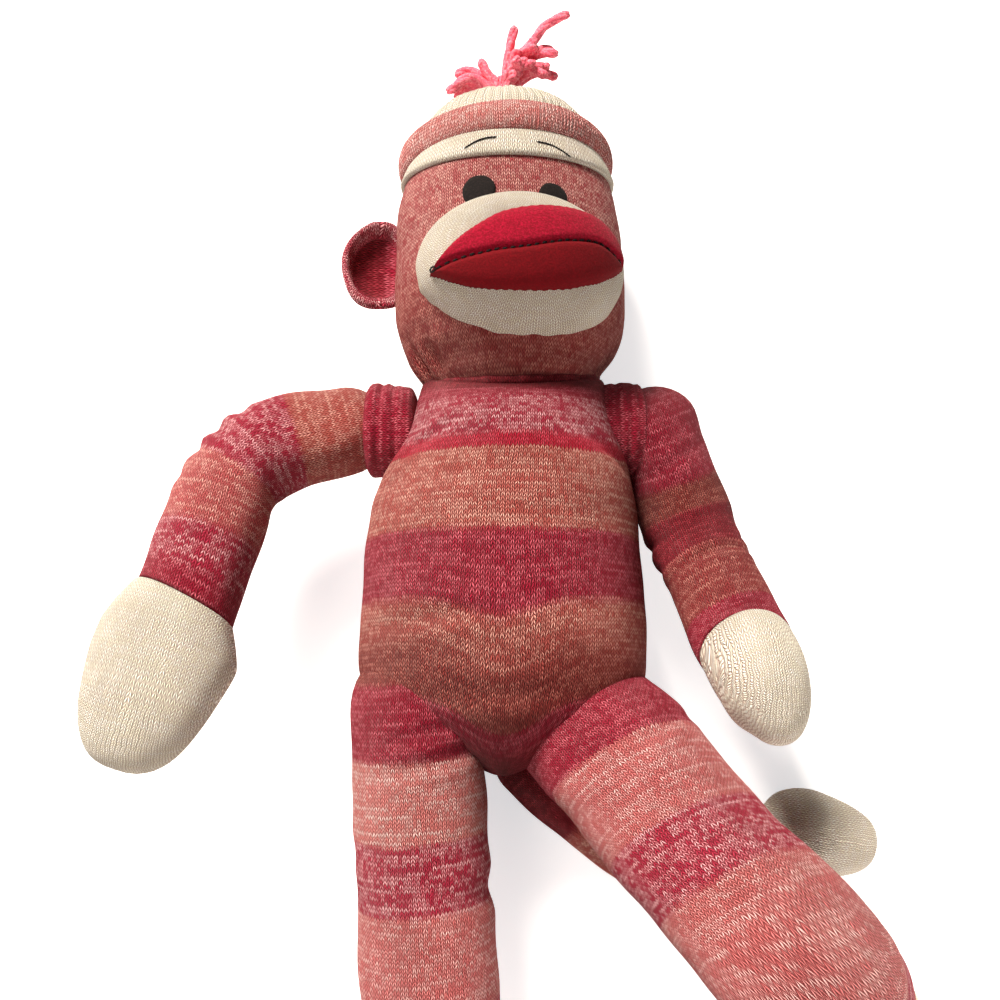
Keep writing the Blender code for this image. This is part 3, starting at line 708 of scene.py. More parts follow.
def thread_mesh(name, lines, radius, finish, plies=2, twist=0.0022, sides=6, apart=0.48):
    """Twisted threads as one piece: each line of points becomes plies wound about it, with closed ends."""
    shell = bmesh.new()
    for line in lines:
        line = np.array(line, float)
        ways, sides_at, besides = carried(line, (0.31, 0.52, 0.79))
        run = np.concatenate([[0], np.cumsum(np.linalg.norm(np.diff(line, axis=0), axis=1))])
        for ply in range(plies):
            turn = 2 * np.pi * (run / twist + ply / plies)
            off = radius * apart
            core = line + off * (np.cos(turn)[:, None] * sides_at + np.sin(turn)[:, None] * besides)
            thick = radius * (1.04 - apart)
            rings = []
            for spot, side, beside, share in zip(core, sides_at, besides, np.linspace(0, 1, len(core))):
                size = thick * min(1.0, 0.35 + 12 * min(share, 1 - share))
                ring = []
                for k in range(sides):
                    a = 2 * math.pi * k / sides
                    ring.append(shell.verts.new(spot + size * (math.cos(a) * side + math.sin(a) * beside)))
                rings.append(ring)
            for first, second in zip(rings, rings[1:]):
                for k in range(sides):
                    m = (k + 1) % sides
                    shell.faces.new((first[k], first[m], second[m], second[k]))
            shell.faces.new(rings[0][::-1])
            shell.faces.new(rings[-1])
    mesh = bpy.data.meshes.new(name)
    shell.to_mesh(mesh)
    shell.free()
    return link_piece(name, mesh, finish)


black_thread = plain_finish("black_thread", dye(22, 18, 18), 0.6, 3000.0, 0.0001)
for side in ("left", "right"):
    share = np.linspace(0, 1, 40)
    (turn_a, height_a), (turn_b, height_b) = BROW_ENDS[side]
    turn = turn_a + (turn_b - turn_a) * share
    height = height_a + (height_b - height_a) * share + BROW_RISE * np.sin(np.pi * share)
    arch = on_head(turn, height, np.full_like(height, 0.0022))
    brow = thread_mesh(f"brow_{side}_thread", [arch], 0.00036, black_thread)
    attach(brow, "head")
    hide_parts(f"brow_{side}")


# Eyes: two flat discs cut from black felt, not quite round, sewn to the face and half
# hidden by the muzzle.
EYES = {"left": (13.4, 0.0445, 0.0053), "right": (-21, 0.0470, 0.0060)}
black_felt = plain_finish("black_felt", dye(14, 8, 7), 0.9, 1500.0, 0.0004, 0.02, dye(42, 31, 27), (0.5, 0.9))
for side, (eye_turn, eye_height, eye_radius) in EYES.items():
    share = np.array((0.02, 0.35, 0.65, 0.85, 0.96, 1.0, 1.0, 0.97, 0.6, 0.02))
    off = np.array((0.0016, 0.0016, 0.00155, 0.0015, 0.0013, 0.0010, 0.0004, 0.0001, 0.0, 0.0))
    spin = np.linspace(0, 2 * np.pi, 48, endpoint=False)
    rows = []
    for s, o in zip(share, off):
        reach = eye_radius * s * (1 + 0.015 * np.sin(3 * spin + 1) + 0.01 * np.sin(7 * spin))
        height = eye_height + reach * np.sin(spin)
        turn = eye_turn + np.degrees(reach * np.cos(spin) / 0.0443)
        rows.append(on_head(turn, height, np.full_like(height, o)))
    eye = outward(knit_tube(f"eye_{side}_felt", np.array(rows), (10, np.arange(len(rows))), black_felt))
    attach(eye, "head")
    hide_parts(f"eye_{side}")


# Muzzle: the cream heel of a sock, packed round and firm, and sewn round its edge to
# the face, where the stitches draw it into small puckers.
MUZZLE_MIDDLE = np.array((0.0070, 0.1075, 0.0720))
MUZZLE_HALF = (0.0380, 0.0281, 0.0320)
MUZZLE_WALES = 118
muzzle_out = np.array((math.sin(math.radians(FACE_TURN)), 0.0, math.cos(math.radians(FACE_TURN))))
muzzle_right = np.array((math.cos(math.radians(FACE_TURN)), 0.0, -math.sin(math.radians(FACE_TURN))))
muzzle_up = np.array((0.0, 1.0, 0.0))


def on_muzzle(x, y, off=0.0):
    """Points on the muzzle's front by their place across and up, in metres from its middle."""
    a, b, c = (half + off for half in MUZZLE_HALF)
    depth = np.sqrt(np.clip(1 - (x / a) ** 2 - (y / b) ** 2, 0.0, 1.0)) * c
    return (
        MUZZLE_MIDDLE + np.asarray(x)[..., None] * muzzle_right + np.asarray(y)[..., None] * muzzle_up
        + depth[..., None] * muzzle_out
    )


def row_courses(rows):
    """The course number of each row of points, from how far apart the rows lie."""
    steps = np.linalg.norm(np.diff(rows, axis=0), axis=2).mean(1)
    return np.concatenate([[0], np.cumsum(steps)]) / COURSE


polar = np.radians(np.linspace(2, 150, 80))
spin = np.linspace(0, 2 * np.pi, 360, endpoint=False)
polar_grid, spin_grid = np.meshgrid(polar, spin, indexing="ij")
tucks = 1 + np.sin(spin_grid * 24 + np.sin(spin_grid * 5) * 2)
pucker = 1 - 0.018 * np.exp(-((polar_grid - 1.9) / 0.25) ** 2) * tucks
lumpy = 1 + 0.006 * np.sin(3 * spin_grid + 2 * polar_grid) + 0.004 * np.sin(5 * spin_grid + 1)
narrow = 1 - 0.055 * np.exp(-((spin_grid - 3.85) / 0.45) ** 2)
narrow = narrow - 0.018 * np.exp(-((spin_grid - 4.83) / 0.10) ** 2)
reach = np.sin(polar_grid) * pucker * lumpy * narrow
rows = (
    MUZZLE_MIDDLE + (MUZZLE_HALF[0] * reach * np.cos(spin_grid))[..., None] * muzzle_right
    + (MUZZLE_HALF[1] * reach * np.sin(spin_grid))[..., None] * muzzle_up
    + (MUZZLE_HALF[2] * np.cos(polar_grid) * lumpy)[..., None] * muzzle_out
)
muzzle_courses = row_courses(rows)
muzzle_knit = knitting("muzzle_knit", ((0.0, 0, "cream"),), flecks=0.6, gap=0.42, relief=0.0012)
muzzle = outward(knit_tube("muzzle", rows, (MUZZLE_WALES, muzzle_courses), muzzle_knit))
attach(muzzle, "head")
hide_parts("muzzle_skin", "muzzle_filling")


# Mouth: an oval of red felt, whose edge is whipped down to the muzzle, and a line of
# black backstitch that draws a groove between its upper and lower lip.
LIPS_TOP = (
    (-0.0333, -0.0076), (-0.0287, -0.0024), (-0.0239, 0.0016), (-0.0174, 0.0057), (-0.0108, 0.0096),
    (-0.0040, 0.0116), (0.0047, 0.0134), (0.0138, 0.0142), (0.0216, 0.0143),
    (0.0277, 0.0124), (0.0332, 0.0070), (0.0355, -0.0020),
)
LIPS_BOTTOM = (
    (-0.0333, -0.0076), (-0.0267, -0.0119), (-0.0202, -0.0147), (-0.0120, -0.0163), (-0.0037, -0.0168),
    (0.0048, -0.0165), (0.0135, -0.0152), (0.0248, -0.0111), (0.0320, -0.0062), (0.0355, -0.0020),
)
MOUTH_LINE = (
    (-0.0333, -0.0076), (-0.0254, -0.0063), (-0.0174, -0.0055), (-0.0109, -0.0047), (-0.0044, -0.0042),
    (0.0023, -0.0029), (0.0092, -0.0011), (0.0164, 0.0004),
    (0.0242, 0.0016), (0.0284, 0.0007), (0.0355, -0.0020),
)


def smooth_line(table, x):
    """A soft curve through a few points of (x, y)."""
    xs, ys = np.array(table).T
    fine = np.linspace(xs[0], xs[-1], 200)
    rough = np.interp(fine, xs, ys)
    kernel = np.hanning(21)[1:-1]
    kernel /= kernel.sum()
    padded = np.pad(rough, 20, mode="reflect", reflect_type="odd")
    soft = np.convolve(padded, kernel, mode="same")[20:-20]
    return np.interp(x, fine, soft)


across = np.sin(np.linspace(-np.pi / 2, np.pi / 2, 121)) * 0.0342 + 0.0011
top, low, seam = (smooth_line(table, across) for table in (LIPS_TOP, LIPS_BOTTOM, MOUTH_LINE))
top = np.maximum(top, low + 0.0004)
seam = np.clip(seam, low + 0.0002, top - 0.0002)
rise = np.concatenate([np.linspace(0, 0.5, 16)[:-1], np.linspace(0.5, 1, 26)])
rows_front, rows_back = [], []
for share in rise:
    if share <= 0.5:
        y = low + (seam - low) * share * 2
        edge = share * 2
    else:
        y = seam + (top - seam) * (share - 0.5) * 2
        edge = (1 - share) * 2
    plump = np.sqrt(np.clip(1 - (1 - np.clip(edge / 0.35, 0, 1)) ** 2, 0, 1))
    groove = 0.85 * np.exp(-((y - seam) / 0.0010) ** 2)
    scallop = 0.00016 * np.sin(across * 5200) * (edge < 0.05)
    thick = 0.0004 + 0.0021 * plump * (1 - groove)
    rows_front.append(on_muzzle(across, y + scallop, thick))
    rows_back.append(on_muzzle(across, y + scallop, np.full_like(y, -0.0004)))
lips_rows = np.array(rows_front + rows_back[::-1]).transpose(1, 0, 2)
nap = (0.42, 0.78)
red_felt = plain_finish("red_felt", dye(118, 0, 24), 0.95, 1500.0, 0.0004, 0.02, dye(172, 8, 48), nap)
# The lower lip takes a darker copy of the red felt: painted shade, as it faces down and away from the lamp.
lower_lip_shade_felt = plain_finish("red_felt_in_shade", dye(92, 0, 8), 0.95, 1500.0, 0.0004, 0.0, dye(120, 2, 15), nap)
lips = outward(knit_tube("lips_felt", lips_rows, (20, np.arange(len(lips_rows))), red_felt))
lips.data.materials.append(lower_lip_shade_felt)
lips_around = lips_rows.shape[1]
# Faces of the lower lip get the darker felt, which is painted shade.
for face in lips.data.polygons:
    step = face.index % lips_around
    if step < 15 or step > lips_around - 17:
        face.material_index = 1
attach(lips, "head")
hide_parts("lips")

stitches = []
count = 25
for i in range(count):
    middle = -0.0318 + 0.0662 * (i + 0.5) / count
    xs = middle + np.linspace(-0.00078, 0.00078, 7)
    ys = smooth_line(MOUTH_LINE, xs) + 0.00012 * math.sin(i * 2.1)
    dip = 0.0007 * np.linspace(-1, 1, 7) ** 4
    stitches.append(on_muzzle(xs, ys, 0.0012 - dip))
knot = np.linspace(0, 2 * np.pi, 13)
knot_x, knot_y = -0.0325 + 0.0008 * np.cos(knot), -0.0072 + 0.0008 * np.sin(knot)
stitches.append(on_muzzle(knot_x, knot_y, 0.0014 + 0.0003 * knot / 6))
mouth = thread_mesh("mouth_stitches", stitches, 0.00042, black_thread, twist=0.0016)
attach(mouth, "head")
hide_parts("mouth_thread")


# Ears: cupped ovals of striped knitting with a rolled rim, each sewn to the head along
# its inner edge. The left one lies folded back against the head.
EAR_ALONG = 0.0360
EAR_ROUND = {"left": -22, "right": 0}
EAR_FOLD = {"left": -90, "right": 12}
EAR_RADIUS = 0.0138
HEAD_HALF = 0.0445
EAR_TALL = 1.27
EAR_OFF = {"left": 0.0012, "right": 0.0022}
EAR_BANDS = ((0.0, 0, "wine"), (0.0065, 0.003, "magenta"), (0.0120, 0.002, "streaked"))
ear_knit = knitting("ear_knit", EAR_BANDS, 0.03, flecks=0.75)
for side, sign in (("left", 1), ("right", -1)):
    angle = math.radians(EAR_ROUND[side])
    out = Vector((sign * math.cos(angle), 0, math.sin(angle)))
    at = NECK + HEAD_AXIS * EAR_ALONG + out * (HEAD_HALF + EAR_OFF[side])
    fold_turn = math.radians(EAR_FOLD[side]) + angle
    reach = Vector((sign * math.cos(fold_turn), 0, math.sin(fold_turn)))
    opens = Vector((-sign * math.sin(fold_turn), 0, math.cos(fold_turn)))
    middle = at + reach * EAR_RADIUS * 0.34
    tall = Vector((0, 1, 0))
    profile = (
        (0.03, -0.0036), (0.30, -0.0036), (0.52, -0.0030), (0.70, -0.0014), (0.79, 0.0010), (0.85, 0.0032),
        (0.93, 0.0044), (1.00, 0.0040), (1.04, 0.0022), (1.01, 0.0000), (0.92, -0.0022), (0.72, -0.0048),
        (0.40, -0.0062), (0.03, -0.0064),
    )
    spin = np.linspace(0, 2 * np.pi, 96, endpoint=False)
    outer = np.clip(np.cos(spin) * 1.2 + 0.75, 0, 1)
    rows = []
    for share, lift in profile:
        far = EAR_RADIUS * share * (1 + 0.015 * np.sin(5 * spin))
        away = far * np.where(np.cos(spin) > 0, np.cos(spin), -0.85 * np.abs(np.cos(spin)) ** 0.6)
        high = far * EAR_TALL * np.sin(spin) - 0.10 * away
        raised = lift * (0.30 + 0.70 * outer) if lift > 0 else np.full_like(spin, lift)
        rows.append(
            np.array(middle) + away[:, None] * np.array(reach) + high[:, None] * np.array(tall)
            + raised[:, None] * np.array(opens)
        )
    rows = np.array(rows)
    ear_courses = row_courses(rows)
    ear = outward(knit_tube(f"ear_{side}_cloth", rows, (52, ear_courses), ear_knit))
    chart = ear.data.uv_layers["stitches"].data
    for face in ear.data.polygons:
        off = face.center - middle
        from_middle = math.hypot(off.dot(reach), off.dot(tall) / EAR_TALL)
        if off.dot(opens) > -0.0042 and from_middle < 0.66 * EAR_RADIUS:
            for corner in face.loop_indices:
                off = ear.data.vertices[ear.data.loops[corner].vertex_index].co - middle
                chart[corner].uv = (off.dot(tall) / WALE, (0.0055 - off.dot(reach) * 0.6) / COURSE)
    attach(ear, f"ear_{side}")
    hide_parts(f"ear_{side}")


# Hat: a ribbed cream crown pulled over the head and gathered under the tuft, and a
# pink brim rolled up round it.
CROWN_OUTLINE = (
    (0.1052, 0.0030), (0.1043, 0.0120), (0.1016, 0.0215),
    (0.0968, 0.0290), (0.0905, 0.0338), (0.0835, 0.0362),
    (0.0760, 0.0368),
)
crown_height = np.concatenate([np.linspace(0.1052, 0.0960, 16), np.linspace(0.0950, 0.0760, 18)])
crown_radius = along_table(CROWN_OUTLINE, crown_height)
crown_angle = np.linspace(0, 2 * np.pi, 384, endpoint=False)
rows = []
for height, radius in list(zip(crown_height, crown_radius)) + [(0.0760, 0.0372)]:
    rib = 0.00045 * np.sin(crown_angle * 64) * min(1.0, radius / 0.02)
    tucks = 0.0010 * np.sin(crown_angle * 15 + np.sin(crown_angle * 3))
    gather = tucks * math.exp(-((radius - 0.012) / 0.010) ** 2)
    reach = radius + rib
    spot = np.array(NECK) + (height + gather)[:, None] * np.array(HEAD_AXIS)
    sideways, forward = reach * np.sin(crown_angle), reach * np.cos(crown_angle)
    rows.append(spot + sideways[:, None] * np.array(head_side) + forward[:, None] * np.array(HEAD_FRONT))
rows = np.array(rows)
crown_courses = row_courses(rows)
crown = outward(knit_tube("hat_crown_cloth", rows, (128, crown_courses), cream_knit))
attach(crown, "head")
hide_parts("hat_crown")

brim_turns = np.linspace(0, 2 * np.pi, 696, endpoint=False)
brim_ribs = 0.00022 * np.sin(brim_turns * 174) + 0.0004 * np.sin(brim_turns * 4 + 1)
brim = hoop(
    "hat_brim_cloth", NECK + HEAD_AXIS * 0.0782, HEAD_AXIS, head_side,
    0.0390 + brim_ribs[:, None] * np.ones((1, 26)), (0.0033, 0.0062), 174,
    knitting("brim_knit", ((0.0, 0, "petal"),), flecks=0.7, gap=0.24, streaks=1.2), courses=28,
)
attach(brim, "head")
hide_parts("hat_brim")


# Tuft: strands of thick plied yarn, cut to uneven lengths and knotted together on top
# of the crown, where the first few named tips are those that stand out.
TUFT_TIPS = (
    (0.028, 0.042, 0.003), (0.004, 0.033, 0.006), (0.022, 0.030, -0.005), (0.022, 0.020, 0.008),
    (0.023, 0.014, -0.002), (0.018, 0.008, 0.010), (-0.012, 0.018, 0.004), (-0.018, 0.014, -0.006),
    (-0.024, 0.004, 0.005), (0.013, 0.024, 0.012), (0.015, 0.026, -0.012), (-0.006, 0.013, -0.014),
    (0.006, 0.011, 0.016), (0.003, 0.019, -0.018),
)
tuft_base = np.array(NECK + HEAD_AXIS * 0.1065)
strands = []
for i in range(54):
    if i < len(TUFT_TIPS):
        tip = np.array(TUFT_TIPS[i]) * 0.94
    else:
        share = (i * 0.618) % 1
        rise = 0.005 + 0.012 * math.cos(i * 1.7) ** 2 + 0.010 * max(0.0, share - 0.5)
        tip = np.array((-0.023 + 0.043 * share, rise, 0.012 * math.sin(i * 2.4)))
    t = np.linspace(0, 1, 44)
    bulge = math.hypot(tip[0], tip[2]) * 0.35
    line = tuft_base + t[:, None] * tip + (bulge * np.sin(np.pi * t))[:, None] * np.array(HEAD_AXIS)
    wander = 0.0011 * np.sin(t * 7 + i * 1.3) * t
    line = line + wander[:, None] * np.array((math.cos(i), 0.3, math.sin(i)))
    strands.append(line)
tuft_yarn = plain_finish("tuft_yarn", dye(228, 92, 114), 0.9, 1100.0, 0.0005, 0.1, dye(252, 160, 170))
tuft = thread_mesh("tuft_strands", strands, 0.00195, tuft_yarn, plies=3, twist=0.0260, sides=8, apart=0.34)
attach(tuft, "head")
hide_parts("tuft")


# Arms: each a narrow tube of the banded sock, bent at the elbow, with a cream mitt sewn
# on at the wrist, and gathered into a short cuff where it meets the torso.
ARM_SIZES = {
    "left": {"ball": 0.0170, "end": 0.0174, "joint": 0.0168, "seam": 0.0168, "tip_radius": 0.0191},
    "right": {"ball": 0.0170, "end": 0.0184, "joint": 0.0178, "seam": 0.0185, "tip_radius": 0.0222},
}
ARM_POINTS = {
    "left": (
        (0.0590, 0.0562, 0.0430), (0.0718, 0.0214, 0.0333),
        (0.0874, -0.0282, 0.0570), (0.0870, -0.0496, 0.1040),
    ),
    "right": (
        (-0.0590, 0.0562, 0.0430), (-0.0973, 0.0466, 0.0493),
        (-0.1106, -0.0120, 0.0622), (-0.1272, -0.0675, 0.0745),
    ),
}
ARM_BENDS = {"left": (0.016, 0.014), "right": (0.024, 0.010)}
# On the left arm, the darker salmon band below the cuff and the dark pink band above the mitt are painted
# shade, where the arm lies in the torso's shade.
ARM_BANDS = {
    "left": (
        (0, 0, "magenta"), (0.0370, 0.003, "salmon_in_shade"), (0.0520, 0.002, "wine"), (0.0730, 0.003, "pink_in_shade"),
        (0.0960, 0.001, "magenta"),
    ),
    "right": (
        (0, 0, "salmon"), (0.0350, 0.002, "streaked"), (0.0620, 0.002, "rose"), (0.0870, 0.004, "streaked"),
        (0.1040, 0.004, "magenta"),
    ),
}
MITT_OVAL = {"left": (1.17, 0.83), "right": (0.83, 1.20)}


def rounded_path(points, bends, step=0.0012):
    """A path through corner points whose corners are rounded over the lengths in bends."""
    points = [np.array(p, float) for p in points]
    dense = [points[0]]
    for before, corner, after, bend in zip(points, points[1:], points[2:], bends):
        a = (before - corner) / np.linalg.norm(before - corner)
        b = (after - corner) / np.linalg.norm(after - corner)
        start, end = corner + a * bend, corner + b * bend
        for t in np.linspace(0, 1, 40):
            dense.append((1 - t) ** 2 * start + 2 * t * (1 - t) * corner + t ** 2 * end)
    dense.append(points[-1])
    dense = np.array(dense)
    run = np.concatenate([[0], np.cumsum(np.linalg.norm(np.diff(dense, axis=0), axis=1))])
    return dense, run


def at_run(dense, run, places):
    """Points on a path at these distances from its start."""
    return np.stack([np.interp(places, run, dense[:, k]) for k in range(3)], axis=1)


def nearest_run(dense, run, spot):
    """How far along a path its nearest point to the spot is."""
    return float(run[np.argmin(np.linalg.norm(dense - np.array(spot), axis=1))])


def square_to(way, facing):
    """A direction turned until it is square to another."""
    facing = facing - way * facing.dot(way)
    return facing / np.linalg.norm(facing)


def mitt_radius(share, seam, radius):
    """The half width of a mitt or foot from its seam at 0 to its tip at 1."""
    drawn = np.clip(1 - share * 2.2, 0, 1) ** 2
    swell = radius * np.clip(1 - share ** 2, 0, 1) ** 0.375
    return swell + (seam - swell) * drawn


def flat_chart(piece, tip, way, out, half, wale=WALE):
    """A chart for a cream end: wales run up its front, over the tip and down its back.

    half holds the end's half sizes across, through and along its rounded part.
    """
    mesh = piece.data
    broad = np.cross(out, way)
    co = np.empty(len(mesh.vertices) * 3)
    mesh.vertices.foreach_get("co", co)
    off = co.reshape(-1, 3) - (np.array(tip) - np.array(way) * half[2])
    x = np.arcsin(np.clip(off @ broad / half[0], -0.999, 0.999)) * half[0]
    along, through = off @ way, np.abs(off @ out)
    over = np.arctan2(along / half[2], through / half[1]) * np.hypot(along, through)
    y = np.where(along > 0, over, along)
    layer = mesh.uv_layers["stitches"].data
    for face in mesh.polygons:
        front = (np.array(face.center) - np.array(tip)) @ out > 0
        for corner in face.loop_indices:
            v = mesh.loops[corner].vertex_index
            layer[corner].uv = (x[v] / wale + (0 if front else 40.5), y[v] / COURSE)


def stuffed_limb(
    name, points, bends, sizes, bands, oval, wales, folds, seed,
    lean=0.0, around=112, reach=0.0, later=0.0, skew=0.0, hip=0.0,
):
    """A banded tube over two bodies and its cream end, which meet in a seam.

    reach sinks its start deeper, later moves the seam, and lean, skew and hip tilt the
    seam, tilt the bands and fill out the hip.
    """
    dense, run = rounded_path(points, bends)
    ball = sizes["ball"]
    start_way = (dense[1] - dense[0]) / np.linalg.norm(dense[1] - dense[0])
    dense = np.concatenate([[dense[0] - start_way * (ball + reach)], dense])
    run = np.concatenate([[0], run + ball + reach])
    elbow = nearest_run(dense, run, points[1])
    wrist = nearest_run(dense, run, points[2]) + later
    lip = 0.0016
    length = wrist + lip * 0.6
    places = spaced(length, ball, lip)
    path = at_run(dense, run, places)
    widths = (ball, ball, sizes["end"], sizes["joint"], sizes["seam"])
    radius = np.interp(places, (0, ball, elbow, elbow + 0.006, wrist), widths)
    shut = closing(places, length, ball, lip, 2.0, 3.0)
    along, angle = grid(places, around)
    swell = lumps(along, angle, seed, 0.00035)
    for at, facing, spread, width, depth, slant in folds:
        swell = swell + fold(along, angle, at, facing, spread, width, depth, slant)
    swell = swell + hip * np.exp(-((along - 0.050) / 0.024) ** 2) * np.clip(np.sin(angle), 0, 1)
    tug = lean * np.exp(-((along - wrist) / 0.020) ** 2) * np.sin(angle)
    rings = ringed(path, (0, 0, -1), radius * shut, radius * shut, swell * shut[:, None], tug)
    ball_arc = ball * np.arcsin(np.clip(1 - places / ball, 0, 1))
    courses = np.where(places < ball, ball - ball_arc, places) / COURSE
    courses = courses[:, None] - skew * np.sin(angle) * np.clip(along / 0.05, 0, 1) / COURSE
    sleeve_knit = knitting(f"{name}_knit", bands, length)
    sleeve = knit_tube(f"{name}_sleeve", settled(rings), (wales, courses), sleeve_knit)

    total = run[-1] - wrist
    tip_places = spaced(total + lip * 0.6, lip, total * 0.5, 0.0012, 14)
    share = np.clip((tip_places - lip * 0.6) / total, 0, 1)
    size = mitt_radius(share, sizes["seam"], sizes["tip_radius"])
    size *= closing(tip_places, total + lip * 0.6, lip, 0.0001, 3.0, 2.0)
    ease = np.clip(share * 4, 0, 1)
    path = at_run(dense, run, wrist - lip * 0.6 + tip_places)
    along, angle = grid(tip_places, around)
    swell = lumps(along, angle, seed + 2.3, 0.0003) * np.clip(size / 0.01, 0, 1)[:, None]
    tug = lean * np.exp(-(along / 0.020) ** 2) * np.sin(angle)
    wide, tall = size * (1 + (oval[0] - 1) * ease), size * (1 + (oval[1] - 1) * ease)
    end_rings = ringed(path, (0, 0, -1), wide, tall, swell, tug)
    end = knit_tube(f"{name}_end", settled(end_rings), (wales, tip_places / COURSE), cream_knit)
    way = dense[-1] - at_run(dense, run, [run[-1] - 0.02])[0]
    return sleeve, end, at_run(dense, run, [elbow])[0], dense[-1], way / np.linalg.norm(way)


CUFF_STARTS = {"left": 0.0314, "right": 0.0302}
CUFF_LENGTHS = {"left": 0.0250, "right": 0.0222}
CUFF_FOLDS = {"left": (0.0130, 0.0165, 0.0200), "right": (0.0090, 0.0145)}
ARM_FOLDS = {
    "left": (
        (0.0700, 0.0, 2.6, 0.0022, 0.0016, 0.0), (0.0770, FRONT, 2.0, 0.0020, 0.0012, 0.001),
        (0.0600, -1.2, 1.2, 0.0022, 0.0010, 0.0), (0.0290, FRONT, 1.8, 0.0025, 0.0006, 0.004),
    ),
    "right": (
        (0.0560, -1.6, 1.3, 0.0022, 0.0016, 0.0), (0.0630, -1.5, 1.0, 0.0020, 0.0012, 0.001),
        (0.0480, -1.6, 1.1, 0.0020, 0.0011, -0.001), (0.0720, -1.4, 0.9, 0.0022, 0.0008, 0.002),
    ),
}
for side, sign in (("left", 1), ("right", -1)):
    points = ARM_POINTS[side]
    sleeve, end, elbow, tip, way = stuffed_limb(
        f"arm_{side}", points, ARM_BENDS[side], ARM_SIZES[side], ARM_BANDS[side], MITT_OVAL[side], 68,
        ARM_FOLDS[side], 1.3 + sign, lean=0.0035 if side == "right" else 0.0,
    )
    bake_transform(sleeve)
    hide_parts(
        f"upper_arm_{side}_skin", f"upper_arm_{side}_filling",
        f"forearm_{side}_skin", f"forearm_{side}_filling",
    )
    sleeve.name = f"arm_{side}"
    end.name = f"mitt_{side}"
    size = ARM_SIZES[side]["tip_radius"]
    facing = square_to(way, np.array((0.0, 0.16, 1.0)))
    flat_chart(end, tip, way, facing, (size * 1.22, size * 0.83, 0.0300))
    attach(end, f"forearm_{side}")
    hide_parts(f"mitt_{side}_skin", f"mitt_{side}_filling")

    cuff_length = CUFF_LENGTHS[side]
    cuff_along = spaced(cuff_length, 0.0040, 0.0050, 0.0007)
    cuff_x = sign * (CUFF_STARTS[side] + cuff_along)
    path = np.stack([cuff_x, np.full_like(cuff_x, 0.0562), np.full_like(cuff_x, 0.0436)], axis=1)
    along, angle = grid(cuff_along, 128)
    cuff_places = (0, 0.005, 0.012, 0.018, cuff_length)
    radius = np.interp(cuff_along, cuff_places, (0.0160, 0.0168, 0.0176, 0.0178, 0.0172))
    shut = closing(cuff_along, cuff_length, 0.0040, 0.0050, 2.0, 2.2)
    swell = lumps(along, angle, 5.0, 0.0003)
    for k, at in enumerate(CUFF_FOLDS[side]):
        facing, slant = FRONT + 0.4 * math.sin(k * 2), 0.0006 * math.cos(k * 3)
        swell = swell + fold(along, angle, at, facing, 2.4, 0.0011, 0.0008, slant)
    rings = ringed(path, (0, 0, -1), radius * shut, radius * shut, swell * shut[:, None])
    cuff_knit = knitting(f"cuff_{side}_knit", ((0.0, 0, "magenta"),), flecks=0.5)
    cuff = knit_tube(f"cuff_{side}", rings, (62, cuff_along / COURSE), cuff_knit)
    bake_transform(cuff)
    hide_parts(f"shoulder_wad_{side}")


# Legs: longer tubes of the same sock, rounded into the hips and bent at the knee, each
# with a cream foot. A smaller packed ball of knitting sits inside each hip.
LEG_SIZES = {
    "left": {"ball": 0.0250, "end": 0.0266, "joint": 0.0268, "seam": 0.0240, "tip_radius": 0.0262},
    "right": {"ball": 0.0232, "end": 0.0242, "joint": 0.0240, "seam": 0.0234, "tip_radius": 0.0262},
}
LEG_POINTS = {
    "left": (
        (0.0328, -0.0572, 0.0453), (0.0925, -0.1242, 0.0930),
        (0.1110, -0.1400, 0.0600), (0.1341, -0.1717, 0.0130),
    ),
    "right": (
        (-0.0298, -0.0600, 0.0462), (-0.0238, -0.1549, 0.0385),
        (-0.0154, -0.1985, 0.0284), (-0.0090, -0.2598, 0.0219),
    ),
}
LEG_BENDS = {"left": (0.018, 0.010), "right": (0.020, 0.020)}
LEG_SKEWS = {"left": 0.007, "right": 0.0}
LEG_HIPS = {"left": 0.0048, "right": 0.0}
LEG_BANDS = {
    # The left leg's lighter rose bands are painted light, where the lamp falls full on the raised leg.
    "left": (
        (0, 0, "magenta"), (0.0540, 0.001, "rose_in_light"), (0.0850, 0.001, "streaked"), (0.1090, 0.003, "rose_in_light"),
        (0.1480, 0.002, "streaked"), (0.1640, 0.002, "rose"),
    ),
    # The right leg's darker salmon band at the hip is painted shade in the crease under the torso.
    "right": (
        (0, 0, "salmon_in_shade"), (0.0120, 0.002, "magenta"), (0.0385, 0.002, "petal"), (0.0655, 0.001, "streaked"),
        (0.0885, 0.001, "rose_in_light"), (0.1220, 0.002, "magenta"),
        (0.1470, 0.002, "rose"), (0.1640, 0.001, "streaked"),
    ),
}
LEG_FOLDS = {
    "left": (
        (0.1280, 0.0, 1.6, 0.0030, 0.0016, 0.0), (0.1390, 0.3, 1.2, 0.0026, 0.0012, 0.0),
        (0.0600, 2.2, 1.4, 0.0030, 0.0007, 0.004),
    ),
    "right": (
        (0.0390, FRONT - 0.5, 1.4, 0.0030, 0.0010, 0.004), (0.0290, FRONT - 0.3, 1.2, 0.0026, 0.0008, 0.005),
        (0.0860, 1.7, 1.5, 0.0050, 0.0012, 0.0), (0.0700, -1.6, 1.2, 0.0050, 0.0006, 0.0),
    ),
}
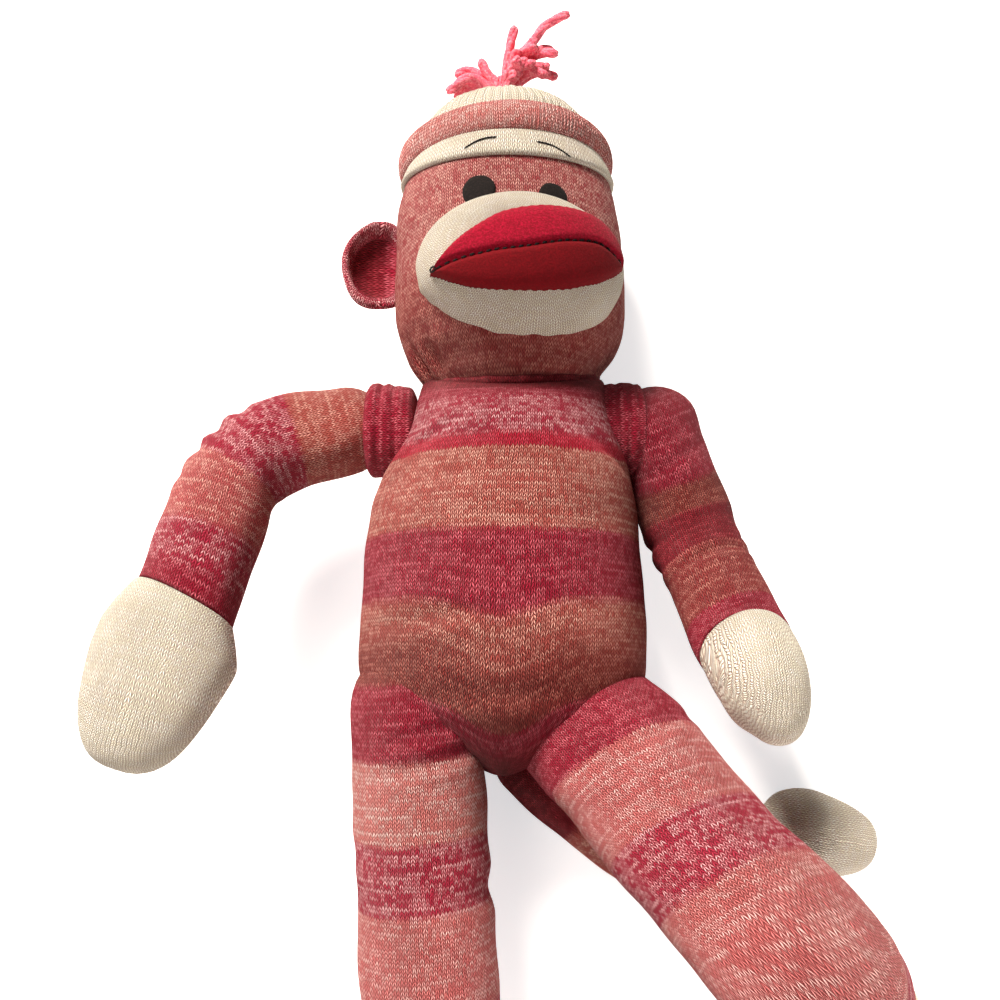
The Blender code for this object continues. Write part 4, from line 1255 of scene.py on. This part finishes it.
for side, sign in (("left", 1), ("right", -1)):
    points = LEG_POINTS[side]
    sleeve, end, knee, tip, way = stuffed_limb(
        f"leg_{side}", points, LEG_BENDS[side], LEG_SIZES[side], LEG_BANDS[side], (1.04, 0.96), 104,
        LEG_FOLDS[side], 3.3 + sign, around=144, reach=0.012, later=0.010,
        skew=LEG_SKEWS[side], hip=LEG_HIPS[side],
    )
    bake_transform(sleeve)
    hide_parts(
        f"thigh_{side}_skin", f"thigh_{side}_filling",
        f"shin_{side}_skin", f"shin_{side}_filling",
    )
    sleeve.name = f"leg_{side}"
    end.name = f"foot_{side}"
    facing = square_to(way, np.array((0.0, 0.1, 1.0)))
    flat_chart(end, tip, way, facing, (0.0290, 0.0260, 0.0330))
    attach(end, f"shin_{side}")
    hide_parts(f"foot_{side}_skin", f"foot_{side}_filling")

    hip = np.array(points[0])
    core_along = spaced(0.0440, 0.0220, 0.0220, 0.002, 12)
    path = hip + (core_along - 0.0220)[:, None] * np.array((0.0, -1.0, 0.0))
    radius = 0.0220 * closing(core_along, 0.0440, 0.0220, 0.0220)
    rings = ringed(path, (0, 0, -1), radius, radius, np.zeros((len(core_along), 48)))
    core_knit = knitting(f"hip_core_{side}_knit", ((0.0, 0, "wine"),))
    core = knit_tube(f"hip_core_{side}", rings, (90, core_along / COURSE), core_knit)
    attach(core, f"hip_{side}")
    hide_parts(f"hip_wad_{side}")


# Tail: a thin stuffed tube of the sock in two lengths, with a cream tip. It is sewn on
# under the seat and lies on the table, out past the raised leg.
TAIL_SIZES = {"ball": 0.0110, "end": 0.0116, "joint": 0.0106, "seam": 0.0110, "tip_radius": 0.0174}
TAIL_POINTS = (
    (0.0090, -0.0700, 0.0116), (0.0572, -0.1090, 0.0114),
    (0.1135, -0.0935, 0.0150), (0.1418, -0.0990, 0.0172),
)
TAIL_BANDS = (
    (0, 0, "wine"), (0.0400, 0.003, "salmon"), (0.0640, 0.002, "magenta"), (0.0900, 0.003, "rose"),
    (0.1150, 0.002, "magenta"),
)
sleeve, end, bend, tip, way = stuffed_limb(
    "tail", TAIL_POINTS, (0.022, 0.004), TAIL_SIZES, TAIL_BANDS, (1.0, 1.0), 44,
    ((0.0720, 1.57, 1.2, 0.0020, 0.0010, 0.0),), 0.7, around=80, later=-0.0110,
)
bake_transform(sleeve)
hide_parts("tail_base_skin", "tail_base_filling", "tail_middle_skin", "tail_middle_filling")
sleeve.name = "tail"
end.name = "tail_tip"
flat_chart(end, tip, way, np.array((0, 0, 1.0)), (0.0185, 0.0172, 0.0190))
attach(end, "tail_end")
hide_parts("tail_tip_skin", "tail_tip_filling")
